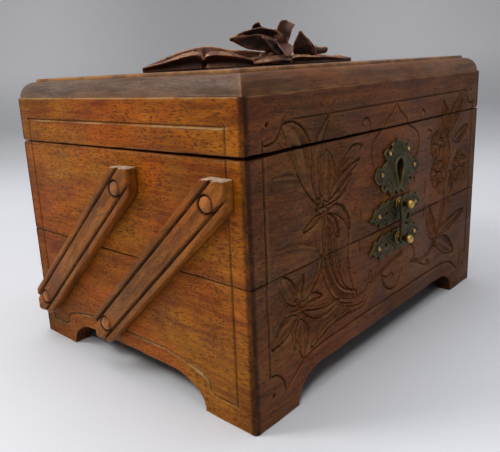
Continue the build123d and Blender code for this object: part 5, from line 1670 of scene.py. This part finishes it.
def backdrop_cloth():
    """Pale cloth with painted shade, greyer far off and where it rises, most in the middle, and with a painted glow in
    the distance to either side.
    """
    material, tree, shader, place = new_material("pale backdrop")

    def shade(value, low, high, *colours):
        return blend_colour(tree, spread(tree, value, low, high), *colours)

    level = put(tree, "ShaderNodeSeparateXYZ", {0: place}).outputs["Z"]
    away = by_axis(tree, "DOT_PRODUCT", place, view_way, gives="Value")
    sideways = by_axis(tree, "DOT_PRODUCT", place, view_across, gives="Value")
    colour = shade(away, -0.1, 0.03, rgb(0.69, 0.7, 0.745), rgb(0.61, 0.616, 0.656))
    colour = shade(away, 0.25, 0.7, colour, rgb(0.46, 0.464, 0.487))
    middle = times(tree, spread(tree, sideways, -0.65, -0.1), spread(tree, sideways, 0.6, 0.0))
    rising = blend_colour(tree, middle, rgb(0.65, 0.645, 0.67), rgb(0.43, 0.427, 0.44))
    distance = by_axis(tree, "LENGTH", place, gives="Value")
    to_side = spread(tree, reckon(tree, "ABSOLUTE", sideways), 1.0, 1.8)
    aside = reckon(tree, "MAXIMUM", spread(tree, away, 0.6, 0.0), to_side)
    far = times(tree, spread(tree, distance, 0.6, 2.2, 0, distance_glow), aside)
    fill(tree, shader, {"Base Color": shade(level, -0.005, 0.17, colour, rising), "Roughness": 0.9,
                        "Emission Color": room_colour, "Emission Strength": times(tree, far, looked_at(tree))})
    return material


def cove():
    """A pale sweep of cloth: level under the box and rising behind it."""
    reach, start, bend, radius, top = 4.5, -4.5, 1.1, 0.5, 2.4
    profile = [(start, 0.0), (bend, 0.0)]
    profile += [(bend + radius * math.sin(a), radius - radius * math.cos(a)) for a in np.linspace(0.1, math.pi / 2, 14)]
    profile.append((bend + radius, top))
    points = [(Vector(view_way) * run + Vector(view_across) * side + Vector((0, 0, rise))) * 1000
              for run, rise in profile for side in (-reach, reach)]
    faces = [(2 * n, 2 * n + 1, 2 * n + 3, 2 * n + 2) for n in range(len(profile) - 1)]
    piece = make_piece("backdrop", points, faces, backdrop_cloth())
    if any(face.normal.z < 0 and face.center.z < 0.01 for face in piece.data.polygons):
        piece.data.flip_normals()
    return piece


cove()


def area_light(name, place, size, power, colour):
    lamp = bpy.data.lights.new(name, "AREA")
    lamp.shape, lamp.size, lamp.energy, lamp.color = "DISK", size, power, colour
    light = add_object(name, lamp)
    light.location = place
    light.rotation_euler = (Vector((0, 0, 0.06)) - Vector(place)).to_track_quat("-Z", "Y").to_euler()


area_light("skylight", (0.05, 0.05, 1.5), 1.7, 19.5, (0.97, 0.985, 1.0))
area_light("window", (-0.75, 0.6, 0.95), 0.42, 6.9, (1.0, 0.98, 0.94))
area_light("doorway", (-1.0, -0.6, 1.15), 0.3, 5.6, (1.0, 0.98, 0.94))
world = bpy.data.worlds.new("room light")
world.use_nodes = True
sky = world.node_tree
# The room light is brighter to the eye and in reflections than in the light it casts: a painted reflection.
glow = spread(sky, looked_at(sky), 0, 1, 0.11, 0.55)
fill(sky, sky.nodes["Background"], {"Color": room_colour, "Strength": glow})
bpy.context.scene.world = world
bpy.context.scene.view_settings.view_transform = "Standard"

lens = bpy.data.cameras.new("camera")
lens.sensor_width, lens.lens = 36.0, 40.66
lens.shift_x, lens.shift_y = 0.0583, -0.0285
camera = add_object("camera", lens)
camera.location = (-0.2295, -0.1845, 0.1292)
camera.rotation_euler = [math.radians(a) for a in (75.656, 3.081, -46.399)]
bpy.context.scene.camera = camera
